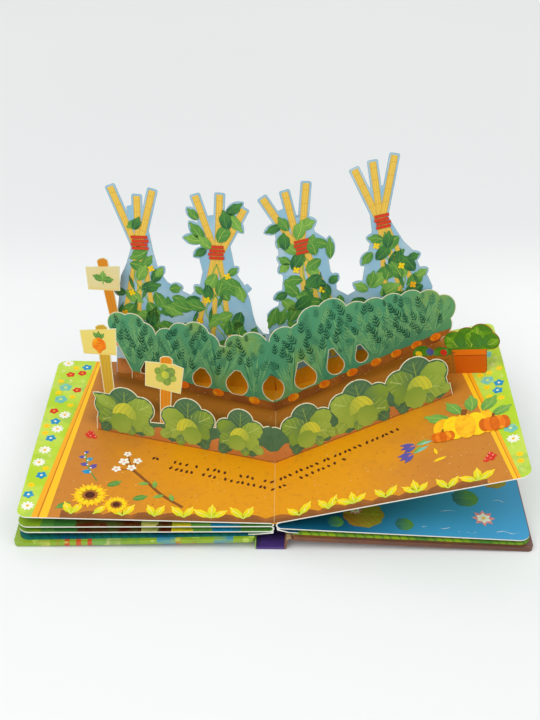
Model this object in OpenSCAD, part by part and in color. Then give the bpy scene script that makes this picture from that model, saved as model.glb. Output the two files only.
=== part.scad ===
// Pop-up garden book, lying open at its middle spread, front edge towards -Y.
// All sizes are millimetres. The origin is the middle of the spine's underside, on the table.
// The pages open left (-X) and right (+X). The right page is held up by the cards it is glued to.
// A card wing is drawn flat in (u, v): u runs out from the fold along the glued edge, v runs up the card.

/* [Pages] */
// Width of one page from the gutter crease to its outer edge
page_w = 200; // [196:1:204]
// Height of the pages, front edge to back edge
page_h = 220; // [216:1:236]
// Thickness of one folded and glued leaf
page_t = 1.0; // [0.7:0.1:1.3]
// Radius of the outer page corners
page_corner = 9; // [4:1:14]

/* [How far it is open] */
// Angle of the left page above level
left_rise = 1.1; // [0.6:0.1:2.4]
// Angle of the right page above level
right_rise = 14.3; // [12:0.1:16]
// Height of the gutter crease above the table
gutter_z = 24; // [23.5:0.5:27]

/* [Case] */
// Thickness of a cover board with its printed wrap
board_t = 3.8; // [3:0.1:4.4]
// Width of a cover board from its joint to the outer edge
board_w = 188.5; // [186:0.5:190]
// How far the boards stand out past the pages
square_edge = 3; // [2:0.5:5]
// Width of the stiff spine strip
spine_w = 22; // [20:0.5:22]
// Thickness of the spine strip
spine_t = 2.2; // [1.4:0.1:3]
// Radius of the cover corners
board_corner = 4; // [2:0.5:8]

/* [Cards] */
// Thickness of the pop-up card
card_t = 0.5; // [0.3:0.05:0.7]
// Width of the glue tabs behind the standing cards
tab_w = 9; // [6:0.5:10]
// Height of the canes above the gutter
trellis_h = 180; // [170:1:184]
// Height of the shrubs above the gutter
hedge_h = 74; // [66:1:80]
// Height of the leafy heads in the front row
heads_h = 47; // [42:1:52]
// Height of the soil band along the front row
soil_h = 13.5; // [10:0.5:16]
// Width of the trellis canes, with the light edge round them
cane_w = 9.6; // [7:0.2:11]
// Width of the sign posts
post_w = 11; // [8:0.5:13]
// Height of the planter card
planter_h = 47; // [42:1:52]

/* [Hidden] */
// The gap left between faces that are glued or that rest on each other
glue_gap = 0.02;
// How far each wing runs past the fold so that the two wings are one piece of card
fold_lap = 0.2;
// How far the wings' lower edge stays off the page
foot_gap = 0.12;
// The gap between a cover board and the wrap joint beside it
joint_gap = 0.12;
// The gutter crease sits a little right of the middle of the spine
gutter_x = 3;
lining_t = page_t;
case_h = page_h + 2 * square_edge;
// The boards' inner edges, their heights there, and the slopes these give
left_joint_x = -12;
right_joint_x = 16.5;
left_joint_z = 7;
right_joint_z = 9;
left_slope = asin(left_joint_z / board_w);
right_slope = asin(right_joint_z / board_w);
// How far a lining stays back from the board's inner edge, so that it clears the pages as the cover turns
lining_back = 0.3;
// The two leaves of the top spread stop this far from the crease, which leaves a fine groove there
crease_gap = 0.06;
// Leaves below the top spread: drop at the gutter, and slope down to the outer edge
leaf_b_drop = 3;
leaf_c_drop = 8.2;
leaf_f_drop = 5;
leaf_b_slope = asin((gutter_z - leaf_b_drop - 17.7) / page_w);
leaf_c_slope = asin((gutter_z - leaf_c_drop - 12.2) / page_w);
leaf_f_slope = asin((gutter_z - leaf_f_drop - 8.6) / page_w);
// The standing folds lean half way between the two pages
fold_tilt = (right_rise - left_rise) / 2;
// Each card: where its fold meets the gutter, the turn of its left and right glued edges, its lean back
row_y = -35;
row_turn = [15, 17];
row_lean = 6;
hedge_y = 38.9;
hedge_turn = [19, 21];
hedge_lean = 8;
trellis_y = 69.8;
trellis_turn = [9, 10];
trellis_lean = 10;
// The front row and the hedge end, and the planter starts, this far in from the page's outer edge
row_inset = 43;
hedge_inset = 38;
planter_inset = 74;
row_w = page_w - row_inset;
hedge_w = page_w - hedge_inset;
// The trellis ends this far short of where the hedge's right wing would cross it
trellis_clear = 9.2;
trellis_w = (trellis_y - hedge_y) * cos(hedge_turn[1]) / sin(hedge_turn[1] - trellis_turn[1]) - trellis_clear;
// The cards are drawn 157 x 47, 162 x 74, 142 x 180 and, for the planter, 47 high, and stretched to size
row_k = [row_w / 157, heads_h / 47];
hedge_k = [hedge_w / 162, hedge_h / 74];
trellis_k = [trellis_w / 142, trellis_h / 180];
planter_k = planter_h / 47;
// The glue tabs start this far from the fold
tab_start = 5;

// Section: places

// Puts children on the top face of a page. side is -1 for the left page and 1 for the right.
module on_page(side, y = 0)
  translate([gutter_x, y, gutter_z])
    mirror([side < 0 ? 1 : 0, 0, 0])
      rotate([0, -(side < 0 ? left_rise : right_rise), 0])
        children();

// Direction of a card's fold, and that direction as one page and one wing see it
function fold_dir(lean) = [-sin(fold_tilt) * cos(lean), sin(lean), cos(fold_tilt) * cos(lean)];
function from_page(d, side, p) =
  [side * d[0] * cos(p) + d[2] * sin(p), d[1], -side * d[0] * sin(p) + d[2] * cos(p)];
function from_wing(q, a) = [q[0] * cos(a) + q[1] * sin(a), -q[0] * sin(a) + q[1] * cos(a), q[2]];
function wing_dir(side, a, lean) =
  from_wing(from_page(fold_dir(lean), side, side < 0 ? left_rise : right_rise), a);
// How steeply the wing stands on its page, and how far the fold moves out for each unit up
function wing_stand(w) = atan2(w[2], w[1]);
function fold_run(w) = w[0] / norm([w[1], w[2]]);

// Puts a flat drawing on a wing, its printed face outwards, set back by a distance
module on_wing(side, y, turn, lean, back = 0) {
  a = side < 0 ? turn[0] : turn[1];
  w = wing_dir(side, a, lean);
  on_page(side, y)
    rotate([0, 0, a])
      rotate([wing_stand(w), 0, 0])
        translate([0, 0, -back - card_t])
          linear_extrude(card_t)
            children();
}

// Trims a wing drawing at the fold and just above the page, as far as any card reaches
module trimmed(side, turn, lean) {
  k = fold_run(wing_dir(side, side < 0 ? turn[0] : turn[1], lean));
  far = 2 * page_w;
  intersection() {
    children();
    polygon([[k * foot_gap - fold_lap, foot_gap], [far, foot_gap], [far, far], [k * far - fold_lap, far]]);
  }
}

// The glue tab behind a wing, flat on the page
module tab(side, y, a, len)
  on_page(side, y)
    rotate([0, 0, a])
      translate([tab_start, 0.15, glue_gap])
        cube([len, tab_w, card_t]);

// Section: small drawings

// A sheet with two rounded outer corners, its inner edge on x = 0, centred on y
module sheet(w, h, r) {
  translate([0, -h / 2])
    square([w - r, h]);
  translate([w - r - 1, -h / 2 + r])
    square([r + 1, h - 2 * r]);
  for (s = [-1, 1])
    translate([w - r, s * (h / 2 - r)])
      circle(r, $fn = 48);
}

// A board with four rounded corners
module board(w, h, r) {
  translate([0, -h / 2 + r])
    square([w, h - 2 * r]);
  translate([r, -h / 2])
    square([w - 2 * r, h]);
  for (x = [r, w - r], s = [-1, 1])
    translate([x, s * (h / 2 - r)])
      circle(r, $fn = 48);
}

// A pointed leaf from (u, v), turned by ang from level, its tip a little rounded
module leaf(u, v, ang, len, wid) {
  r = (len * len + wid * wid) / (4 * wid);
  translate([u, v])
    rotate(ang) {
      intersection() {
        translate([len / 2, r - wid / 2])
          circle(r, $fn = 96);
        translate([len / 2, wid / 2 - r])
          circle(r, $fn = 96);
      }
      translate([len - 2, 0])
        circle(1.5, $fn = 24);
    }
}

// A straight bar between two points, the corners of its far end rounded by r
module bar(u0, v0, u1, v1, w) {
  r = 0.2 * w;
  len = norm([u1 - u0, v1 - v0]);
  translate([u0, v0])
    rotate(atan2(v1 - v0, u1 - u0)) {
      translate([0, -w / 2])
        square([len - r, w]);
      translate([len - 2 * r, r - w / 2])
        square([2 * r, w - 2 * r]);
      for (s = [-1, 1])
        translate([len - r, s * (w / 2 - r)])
          circle(r, $fn = 24);
    }
}

// A leafy head of five lobes, w wide and h high
module head(u, w, h)
  translate([u, 0]) {
    translate([0, h - 0.27 * w])
      circle(0.27 * w, $fn = 48);
    translate([-0.27 * w, h * 0.6])
      circle(0.23 * w, $fn = 48);
    translate([0.28 * w, h * 0.56])
      circle(0.22 * w, $fn = 48);
    translate([-0.2 * w, h * 0.34])
      circle(0.24 * w, $fn = 48);
    translate([0.2 * w, h * 0.32])
      circle(0.25 * w, $fn = 48);
    translate([-0.3 * w, 2])
      square([0.6 * w, h * 0.5]);
  }

// An onion-shaped opening between two stems
module arch(u, v, w, h)
  translate([u, v]) {
    translate([0, w * 0.42])
      circle(w * 0.42, $fn = 40);
    polygon([[-w * 0.36, w * 0.64], [-w * 0.1, h], [w * 0.1, h], [w * 0.36, w * 0.64]]);
  }

// Section: the case

// Puts children on the left or right board's underside at its joint, running outwards
module at_joint(side)
  translate([side < 0 ? left_joint_x : right_joint_x, 0, side < 0 ? left_joint_z : right_joint_z])
    mirror([side < 0 ? 1 : 0, 0, 0])
      rotate([0, side < 0 ? left_slope : right_slope, 0])
        children();

module cover(side)
  at_joint(side)
    linear_extrude(board_t)
      board(board_w, case_h, board_corner);

module lining(side) {
  out = gutter_x + side * (page_w) - (side < 0 ? left_joint_x : right_joint_x);
  at_joint(side)
    translate([lining_back, 0, board_t + glue_gap])
      linear_extrude(lining_t)
        sheet(side * out - lining_back, page_h, page_corner);
}

module front_cover() {
  color([0.55, 0.70, 0.15])
    cover(-1);
}

module back_cover() {
  color([0.42, 0.26, 0.20])
    cover(1);
}

module front_lining() {
  color([0.12, 0.45, 0.42])
    lining(-1);
}

module back_lining() {
  color([0.45, 0.62, 0.10])
    lining(1);
}

module spine() {
  color([0.25, 0.17, 0.45])
    translate([-spine_w / 2, -case_h / 2, 0])
      cube([spine_w, case_h, spine_t]);
}

// A band drawn in (x, z) and drawn out along the length of the case
module band(h)
  translate([0, h / 2, 0])
    rotate([90, 0, 0])
      linear_extrude(h)
        children();

// The wrap between spine and front board: stands on the table beside the spine. Its outer face leans
// back by the board's slope, so that the board passes it when it hangs straight down.
module front_joint_wrap() {
  color([0.50, 0.66, 0.15])
    band(case_h)
      polygon([[-spine_w / 2 - glue_gap, 0],
               [left_joint_x + joint_gap + left_joint_z * tan(left_slope), 0],
               [left_joint_x + joint_gap, left_joint_z],
               [left_joint_x + joint_gap, left_joint_z + 1.6],
               [-spine_w / 2 - glue_gap, left_joint_z + 2.4]]);
}

// The wrap between spine and back board: rises, then runs out to the board
module back_joint_wrap() {
  color([0.42, 0.26, 0.20])
    band(case_h)
      polygon([[spine_w / 2 + glue_gap, 0], [spine_w / 2 + 1.2, 0], [spine_w / 2 + 1.8, 5],
               [spine_w / 2 + 2.6, right_joint_z],
               [right_joint_x - 1.6, right_joint_z + 1.6],
               [right_joint_x - joint_gap, right_joint_z + 1.2],
               [right_joint_x - joint_gap, right_joint_z + 2.6],
               [right_joint_x - 2, right_joint_z + 3.2],
               [spine_w / 2 + 1.6, right_joint_z + 2.6],
               [spine_w / 2 + 0.6, right_joint_z],
               [spine_w / 2 + glue_gap, 4]]);
}

// Section: the pages

// One leaf. Its top face starts at (x, z), or a gap further out, and falls by slope towards its outer edge.
module page_leaf(side, x, z, slope, gap = 0)
  translate([x, 0, z])
    mirror([side < 0 ? 1 : 0, 0, 0])
      rotate([0, slope, 0])
        translate([gap, 0, -page_t])
          linear_extrude(page_t)
            sheet(page_w - (side < 0 ? gutter_x - x : x - gutter_x) - gap, page_h, page_corner);

// The rounded fold that joins two leaves at the gutter, drawn in (x, z), open to one side
module fold_ring(side, x, z_low, z_high) {
  r = (z_high - z_low) / 2;
  translate([x, z_low + r])
    difference() {
      circle(r, $fn = 48);
      circle(r - page_t, $fn = 48);
      translate([side < 0 ? -2 * r : 0, -2 * r])
        square([2 * r, 4 * r]);
    }
}

// The card that carries the top spread across the gutter, inside the two leaves
module crease() {
  l = 2 * tan(left_rise);
  r = 2 * tan(right_rise);
  translate([gutter_x, gutter_z])
    polygon([[-2, l - 0.25 * page_t], [0, -0.06], [2, r - 0.25 * page_t],
             [2, r - 0.8 * page_t], [0, -0.95 * page_t], [-2, l - 0.8 * page_t]]);
}

// The fold that lies on a lining: runs down from a leaf's inner edge on to the lining's top
module tongue(side, leaf_x, leaf_z) {
  lx = side < 0 ? left_joint_x : right_joint_x;
  lz = side < 0 ? left_joint_z : right_joint_z;
  sl = side < 0 ? left_slope : right_slope;
  rise = board_t + lining_t + 2 * glue_gap;
  // where the lining's top face is, out from the joint by d
  function lin(d) = [lx + side * (d * cos(sl) + rise * sin(sl)), lz - d * sin(sl) + rise * cos(sl)];
  a = lin(5);
  b = lin(-2.5);
  polygon([a, b, [leaf_x - side * 1.6, leaf_z - page_t - 1.5], [leaf_x - side * 2.2, leaf_z - page_t],
           [leaf_x - side * 1.6, leaf_z - 0.3 * page_t], [leaf_x + side * 2, leaf_z - 0.3 * page_t],
           [leaf_x + side * 2, leaf_z - 0.6 * page_t], [leaf_x, leaf_z - page_t * 0.9],
           [leaf_x - side * 0.4, leaf_z - page_t * 1.4],
           [b[0] + side * 0.4, b[1] + page_t * 0.9], [a[0], a[1] + page_t * 0.8]]);
}

module pages() {
  color([0.87, 0.58, 0.08]) {
    page_leaf(-1, gutter_x, gutter_z, -left_rise, crease_gap);
    page_leaf(1, gutter_x, gutter_z, -right_rise, crease_gap);
    page_leaf(-1, 1.5, gutter_z - leaf_b_drop, leaf_b_slope);
    page_leaf(-1, 0.5, gutter_z - leaf_c_drop, leaf_c_slope);
    page_leaf(1, 7, gutter_z - leaf_f_drop, leaf_f_slope);
    // the folds end just short of the page edges
    band(page_h - 0.6) {
      crease();
      fold_ring(-1, 1.2, gutter_z - leaf_b_drop - 0.6 * page_t, gutter_z - 0.4 * page_t);
      fold_ring(-1, 0.3, gutter_z - leaf_c_drop - 0.6 * page_t, gutter_z - leaf_b_drop - 0.4 * page_t);
      fold_ring(1, 7.4, gutter_z - leaf_f_drop - 0.7 * page_t, gutter_z + 0.55);
      tongue(-1, 0.5, gutter_z - leaf_c_drop);
      tongue(1, 7, gutter_z - leaf_f_drop);
    }
  }
}

// Section: the standing cards

// The front row's left and right wings: soil band and leafy heads
module row_left() {
  square([row_w, soil_h]);
  scale(row_k) {
    polygon([[-4, 0], [-4, 26], [10, 29], [100, 18], [150, 13], [157, 0]]);
    head(132, 54, 46);
    leaf(128, 20, 27, 36, 15);
    head(76, 48, 47);
    head(31, 42, 46);
    translate([6, 26])
      circle(8.5, $fn = 40);
  }
}

module row_right() {
  square([row_w + 3, soil_h - 1]);
  scale(row_k) {
    polygon([[-4, 0], [-4, 26], [10, 29], [120, 30], [158, 12.5], [160, 0]]);
    translate([5, 24.4])
      circle(9, $fn = 40);
    head(35, 46, 44);
    head(82, 54, 47);
    head(133, 56, 48);
  }
}

module front_row_card() {
  color([0.42, 0.58, 0.28]) {
    on_wing(-1, row_y, row_turn, row_lean)
      trimmed(-1, row_turn, row_lean)
        row_left();
    on_wing(1, row_y, row_turn, row_lean)
      trimmed(1, row_turn, row_lean)
        row_right();
    tab(-1, row_y, row_turn[0], row_w - 9);
    tab(1, row_y, row_turn[1], row_w - 9);
  }
}

// The hedge's left and right wings: bushy tops on narrow stems, and a low soil band
module hedge_left()
  scale(hedge_k) {
    square([137, 8]);
    difference() {
      union() {
        polygon([[-6, 0], [-12, 50], [20, 58], [40, 55], [56, 46], [86, 54],
                 [120, 44], [154, 52], [160, 46], [138, 8], [138, 0]]);
        translate([150, 52]) circle(12, $fn = 40);
        translate([137, 53]) circle(12.5, $fn = 40);
        translate([126, 48]) circle(11, $fn = 40);
        translate([104, 46]) circle(12, $fn = 40);
        translate([91, 54]) circle(12, $fn = 40);
        translate([77, 57]) circle(13, $fn = 40);
        translate([66, 50]) circle(12, $fn = 40);
        translate([52, 41]) circle(11.5, $fn = 40);
        translate([38, 54]) circle(12, $fn = 40);
        translate([23, 59]) circle(13, $fn = 40);
        translate([8, 54]) circle(13, $fn = 40);
      }
      arch(2, 9, 27, 29);
      arch(37, 7, 24, 24);
      arch(70, 6, 21, 20);
      arch(104, 5, 21, 22);
      arch(124, 5, 12, 15);
    }
  }

module hedge_right()
  scale(hedge_k) {
    square([150, 10]);
    difference() {
      union() {
        polygon([[-6, 0], [6, 54], [28, 60], [56, 66], [84, 58], [120, 54],
                 [160, 38], [180, 28], [175, 12], [162, 0]]);
        translate([8, 53]) circle(13, $fn = 40);
        translate([25, 60]) circle(13.5, $fn = 40);
        translate([41, 58]) circle(13, $fn = 40);
        translate([55, 66]) circle(15, $fn = 40);
        translate([72, 66]) circle(15, $fn = 40);
        translate([92, 55]) circle(14.5, $fn = 40);
        translate([109, 52]) circle(14, $fn = 40);
        translate([126, 49]) circle(14, $fn = 40);
        translate([143, 45]) circle(14, $fn = 40);
        translate([158, 39]) circle(14, $fn = 40);
        translate([170, 29]) circle(14, $fn = 40);
        translate([165, 14]) circle(12, $fn = 40);
      }
      arch(2, 9, 27, 29);
      arch(34, 8, 24, 27);
      arch(63, 10, 19, 25);
      arch(88, 11, 14, 17);
    }
  }

module hedge_card() {
  color([0.24, 0.50, 0.36]) {
    on_wing(-1, hedge_y, hedge_turn, hedge_lean)
      trimmed(-1, hedge_turn, hedge_lean)
        hedge_left();
    on_wing(1, hedge_y, hedge_turn, hedge_lean)
      trimmed(1, hedge_turn, hedge_lean)
        hedge_right();
    tab(-1, hedge_y, hedge_turn[0], 106 * hedge_k[0]);
    tab(1, hedge_y, hedge_turn[1], 88 * hedge_k[0]);
  }
}

// The trellis wings: fans of three canes, climbing leaves, and a soil band
module canes(from, tips)
  for (tip = tips)
    bar(from[0] + (tip[0] - from[0]) * 0.06, from[1], tip[0], tip[1], cane_w);

module trellis_left()
  scale(trellis_k) {
    square([146, 14]);
    polygon([[-8, 0], [-8, 54], [14, 54], [21, 62], [24, 71], [27, 84], [33, 98], [41, 108], [44, 122],
             [47, 134], [44, 147], [52, 160], [66, 157], [76, 152], [72, 134], [74, 120], [70, 106],
             [72, 94], [80, 83], [90, 87], [101, 93], [109, 103], [114, 120], [118, 138], [121, 158],
             [129, 162], [138, 158], [136, 140], [134, 121], [138, 106], [143, 94], [146, 60], [147, 0]]);
    canes([127, 122], [[153, 176], [129, 170], [115, 176]]);
    leaf(127, 146, -32, 14, 10);
    leaf(137, 78, 14, 13, 10);
    leaf(112, 96, 126, 14, 9);
    leaf(100, 86, 165, 14, 11);
    canes([57, 122], [[79, 175], [57, 178], [35, 167]]);
    leaf(68, 84, 45, 13, 9);
    leaf(66, 128, -37, 16, 10);
    leaf(69, 134, 4, 20, 11);
    leaf(68, 134, 47, 23, 12);
    leaf(74, 152, 42, 16, 10);
    leaf(52, 158, 139, 21, 11);
    leaf(52, 162, 227, 25, 12);
    leaf(48, 104, 135, 14, 9);
    bar(38, 86, 28, 97, 7);
  }

module trellis_right()
  scale(trellis_k) {
    square([142, 14]);
    polygon([[-8, 0], [-8, 50], [7, 54], [14, 64], [23, 77], [30, 90], [34, 101], [33, 112], [36, 124],
             [37, 138], [41, 148], [44, 159], [52, 160], [61, 150], [67, 152], [70, 144], [71, 132],
             [78, 124], [80, 116], [76, 104], [75, 94], [78, 86], [76, 76], [84, 68], [92, 70],
             [99, 76], [104, 88], [110, 100], [115, 110], [118, 118], [120, 134], [122, 156], [130, 154],
             [138, 154], [134, 128], [139, 112], [143, 100], [149, 90], [151, 75], [156, 64], [158, 53],
             [153, 38], [146, 18], [142, 0]]);
    canes([54, 120], [[35, 175], [55, 175], [75, 177]]);
    leaf(23, 77, 232, 24, 12);
    leaf(35, 86, 188, 15, 10);
    leaf(43, 112, 208, 14, 10);
    leaf(44, 110, 135, 15, 10);
    leaf(46, 139, 230, 16, 10);
    leaf(46, 146, 187, 18, 10);
    leaf(58, 140, 5, 17, 13);
    leaf(77, 104, 77, 22, 10);
    leaf(62, 118, 60, 16, 12);
    leaf(70, 83, 30, 13, 10);
    canes([127, 124], [[116, 176], [133, 178], [153, 178]]);
    leaf(103, 66, 137, 17, 11);
    leaf(115, 100, 215, 17, 11);
    leaf(127, 107, 157, 17, 11);
    leaf(141, 84, 8, 14, 10);
    leaf(145, 66, 20, 14, 10);
  }

module trellis_card() {
  color([0.62, 0.77, 0.85]) {
    on_wing(-1, trellis_y, trellis_turn, trellis_lean)
      trimmed(-1, trellis_turn, trellis_lean)
        trellis_left();
    on_wing(1, trellis_y, trellis_turn, trellis_lean)
      trimmed(1, trellis_turn, trellis_lean)
        trellis_right();
    tab(-1, trellis_y, trellis_turn[0], trellis_w - 6);
    tab(1, trellis_y, trellis_turn[1], trellis_w - 8);
  }
}

// Section: signs, each glued to the back of a wing

// A post from its foot to its top, its top corners cut, and a board on it. The points stretch by k with
// the card that the sign is glued to.
module sign(foot, top, corners, k) {
  from = [foot[0] * k[0], foot[1] * k[1]];
  to = [top[0] * k[0], top[1] * k[1]];
  len = norm(to - from);
  w = post_w / 2;
  translate(from)
    rotate(atan2(to[1] - from[1], to[0] - from[0]))
      polygon([[0, -w * 0.8], [len - 2, -w], [len, -w * 0.5], [len + 0.8, w * 0.4], [len - 1.5, w],
               [0, w * 0.8]]);
  scale(k)
    polygon(corners);
}

module sign_low() {
  color([0.87, 0.50, 0.07])
    on_wing(-1, row_y, row_turn, row_lean, card_t + glue_gap)
      sign([96, 6], [95, 82], [[113, 74.5], [89, 76.5], [80, 74], [82.5, 49.5], [113.5, 51.5]], row_k);
}

module sign_middle() {
  color([0.87, 0.50, 0.07])
    on_wing(-1, row_y, row_turn, row_lean, card_t + glue_gap)
      sign([142, 6], [151, 101], [[170, 93], [138, 100], [138, 75], [167, 71.5]], row_k);
}

module sign_high() {
  color([0.87, 0.50, 0.07])
    on_wing(-1, hedge_y, hedge_turn, hedge_lean, card_t + glue_gap)
      sign([149, 30], [167, 112], [[183, 101], [150, 108], [149.5, 84.5], [180.5, 79.5]], hedge_k);
}

// Section: planter, standing on the right page

planter_y = 52.5;
planter_turn = -18;
planter_stand = 84;

// The trough and its greens, and the crate before it
module planter_outline()
  scale(planter_k) {
    polygon([[36, 24], [64.5, 24], [62, 3], [60, 0], [39, 0]]);
    square([42, 20]);
    translate([9, 18]) circle(10, $fn = 40);
    translate([25, 18]) circle(8.5, $fn = 40);
    translate([38, 31]) circle(9.5, $fn = 40);
    translate([50, 34]) circle(10, $fn = 40);
    translate([62, 37]) circle(10, $fn = 40);
    translate([68, 31]) circle(8.5, $fn = 40);
    polygon([[30, 20], [30, 32], [74, 33], [72, 24], [64, 22]]);
  }

module planter_card() {
  color([0.80, 0.38, 0.03]) {
    on_page(1)
      translate([page_w - planter_inset, planter_y, 0])
        rotate([0, 0, planter_turn]) {
          rotate([planter_stand, 0, 0])
            translate([0, 0, -card_t])
              linear_extrude(card_t)
                intersection() {
                  planter_outline();
                  translate([-planter_h, foot_gap])
                    square(3 * planter_h);
                }
          translate([4, 0.15, glue_gap])
            cube([54 * planter_k, tab_w, card_t]);
        }
  }
}

front_cover();
back_cover();
spine();
front_joint_wrap();
back_joint_wrap();
front_lining();
back_lining();
pages();
trellis_card();
hedge_card();
front_row_card();
sign_high();
sign_middle();
sign_low();
planter_card();
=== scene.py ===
"""Looks of a children's pop-up garden book that lies open at its middle spread.

The packed solids carry the form. This script gives each of them its printed finish, and lays the
printed motifs on them as thin cut-outs: leaves, blooms, canes, soil and water.
"""

import logging
import math
import random
from contextlib import contextmanager
from dataclasses import dataclass, field
from enum import Enum
from functools import cached_property
from typing import Callable, Dict, Iterator, List, Optional, Sequence, Tuple, Union

import bmesh
import bpy
from mathutils import Matrix, Vector


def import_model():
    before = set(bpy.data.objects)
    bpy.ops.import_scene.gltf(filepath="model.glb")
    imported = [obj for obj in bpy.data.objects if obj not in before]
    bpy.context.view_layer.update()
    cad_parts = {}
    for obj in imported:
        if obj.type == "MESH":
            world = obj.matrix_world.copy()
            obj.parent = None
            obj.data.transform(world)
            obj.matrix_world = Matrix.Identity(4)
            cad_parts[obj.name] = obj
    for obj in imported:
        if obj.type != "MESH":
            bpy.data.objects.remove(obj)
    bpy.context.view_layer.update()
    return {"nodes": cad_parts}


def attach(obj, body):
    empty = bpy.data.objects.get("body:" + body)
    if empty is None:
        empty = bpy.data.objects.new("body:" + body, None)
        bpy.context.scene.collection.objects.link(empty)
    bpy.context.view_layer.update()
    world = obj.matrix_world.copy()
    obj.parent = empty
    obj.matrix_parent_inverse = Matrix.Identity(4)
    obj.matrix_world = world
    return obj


LOG = logging.getLogger("garden_book")

# A millimetre in the frame's metres; then, in millimetres, a printed sheet's height off the card and its
# thickness, and the lowest motif's height, a motif's thickness and the step from one layer to the next.
MM = 0.001
SHEET_LIFT, SHEET = 0.01, 0.04
LIFT, FILM, LAYER = 0.03, 0.05, 0.06
# The cosine above which two directions count as one.
SAME_WAY = 0.995
Paint = Tuple[float, float, float]
Spot = Tuple[float, float]


class Ink(Enum):
    """The print colours, as seen on paper."""

    SOIL = (0.89, 0.59, 0.03)
    # Painted light: a brighter orange soil for ground that lies in the shade between the standing cards.
    SOIL_GLOW = (1.0, 0.66, 0.10)
    SOIL_BROWN = (0.68, 0.41, 0.15)
    SOIL_TAN = (0.79, 0.50, 0.17)
    SOIL_DARK = (0.42, 0.24, 0.06)
    SOIL_RED = (0.42, 0.13, 0.05)
    # A brick-red soil, lighter than the print's own brick: in part painted light, for the trellis fold's
    # foot, which lies in shade.
    SOIL_BRICK = (0.86, 0.44, 0.16)
    ROW_SOIL = (0.78, 0.50, 0.26)
    BANK = (0.56, 0.33, 0.14)
    LIME = (0.71, 0.84, 0.14)
    LIME_PALE = (0.83, 0.90, 0.42)
    FENCE = (1.0, 0.77, 0.12)
    FENCE_DARK = (0.80, 0.46, 0.06)
    SKY = (0.57, 0.74, 0.83)
    HEDGE = (0.37, 0.64, 0.45)
    HEDGE_DEEP = (0.25, 0.52, 0.38)
    HEDGE_LIGHT = (0.49, 0.73, 0.48)
    HEDGE_YELLOW = (0.54, 0.70, 0.36)
    HEDGE_BLUE = (0.29, 0.61, 0.46)
    SPRIG = (0.12, 0.34, 0.24)
    HEAD = (0.50, 0.62, 0.23)
    HEAD_DEEP = (0.31, 0.46, 0.32)
    HEAD_LIGHT = (0.60, 0.70, 0.28)
    HEAD_SHADE = (0.24, 0.38, 0.27)
    HEART = (0.82, 0.82, 0.25)
    VEIN = (0.74, 0.82, 0.48)
    LEAF = (0.37, 0.60, 0.26)
    LEAF_DEEP = (0.28, 0.52, 0.24)
    LEAF_LIGHT = (0.49, 0.69, 0.31)
    CROWN = (0.45, 0.66, 0.11)
    CROWN_DEEP = (0.29, 0.51, 0.12)
    CANE = (0.92, 0.77, 0.33)
    CANE_DARK = (0.76, 0.58, 0.20)
    TWINE = (0.87, 0.27, 0.15)
    CRATE = (0.74, 0.46, 0.13)
    CREAM = (0.89, 0.84, 0.62)
    CREAM_YELLOW = (0.91, 0.84, 0.46)
    POST = (0.88, 0.53, 0.08)
    MUSTARD = (0.81, 0.66, 0.19)
    ORANGE = (0.93, 0.47, 0.07)
    ORANGE_DEEP = (0.84, 0.39, 0.03)
    YELLOW = (0.99, 0.85, 0.10)
    RED = (0.86, 0.20, 0.12)
    PINK = (0.93, 0.52, 0.50)
    BLUE = (0.12, 0.56, 0.76)
    TURQUOISE = (0.42, 0.76, 0.72)
    VIOLET = (0.38, 0.32, 0.62)
    WHITE = (0.97, 0.96, 0.92)
    BERRY_SEED = (0.30, 0.13, 0.07)
    POND = (0.25, 0.62, 0.82)
    POND_DEEP = (0.05, 0.36, 0.50)
    PAD = (0.62, 0.58, 0.16)
    CARD_EDGE = (0.93, 0.92, 0.88)
    RIM = (0.90, 0.89, 0.76)
    RIM_SKY = (0.62, 0.73, 0.78)
    TEAL = (0.10, 0.45, 0.42)
    COVER_LIME = (0.58, 0.70, 0.14)
    COVER_BROWN = (0.40, 0.25, 0.19)
    PURPLE = (0.30, 0.20, 0.48)

    def linear(self) -> Tuple[float, ...]:
        """The linear colour that a shader takes."""
        return tuple(c / 12.92 if c <= 0.04045 else ((c + 0.055) / 1.055) ** 2.4 for c in self.value) + (1.0,)


def _maths(operation: str, meaning: str) -> Callable[..., "Wire"]:
    """Makes a method of Wire that adds one Math node.

    Args:
        operation: the Math node's operation.
        meaning: the method's docstring.

    Returns:
        The method. It takes the node's other values.
    """
    def method(self: "Wire", *others: "Value") -> "Wire":
        values = dict(enumerate((self, *others)))
        return self.tree.node("ShaderNodeMath", {"operation": operation}, values)
    method.__doc__ = meaning
    return method


class Wire:
    """A socket of a shader that takes part in arithmetic."""

    __add__ = __radd__ = _maths("ADD", "Sum.")
    __mul__ = __rmul__ = _maths("MULTIPLY", "Product.")
    __sub__ = _maths("SUBTRACT", "Difference.")
    __truediv__ = _maths("DIVIDE", "Quotient.")
    __gt__ = _maths("GREATER_THAN", "1 where this is the greater, else 0.")
    __lt__ = _maths("LESS_THAN", "1 where this is the less, else 0.")
    __abs__ = _maths("ABSOLUTE", "Size without sign.")
    either = _maths("MAXIMUM", "The greater of two.")
    sine = _maths("SINE", "Sine of this, in radians.")
    root = _maths("SQRT", "Square root.")
    part = _maths("FRACT", "What is left above the whole number below.")
    scaled = _maths("MULTIPLY_ADD", "This times one value, plus another.")

    def __init__(self, tree: "Tree", socket: bpy.types.NodeSocket) -> None:
        """Keeps the socket and the tree that it belongs to."""
        self.tree = tree
        self.socket = socket

    def __rsub__(self, other: "Value") -> "Wire":
        """Difference from a number."""
        return self.scaled(-1.0, other)

    def within(self, low: "Value", high: "Value") -> "Wire":
        """1 between two values, else 0."""
        return (self > low) * (self < high)

    def ease(self, low: float, high: float) -> "Wire":
        """Rises smoothly from 0 at low to 1 at high."""
        values = {"Value": self, "From Min": low, "From Max": high}
        return self.tree.node("ShaderNodeMapRange", {"interpolation_type": "SMOOTHSTEP"}, values)

    def stripes(self, half: float) -> "Wire":
        """1 in a band about the middle of each whole step, else 0."""
        return abs(self.part() - 0.5) < half


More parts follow.
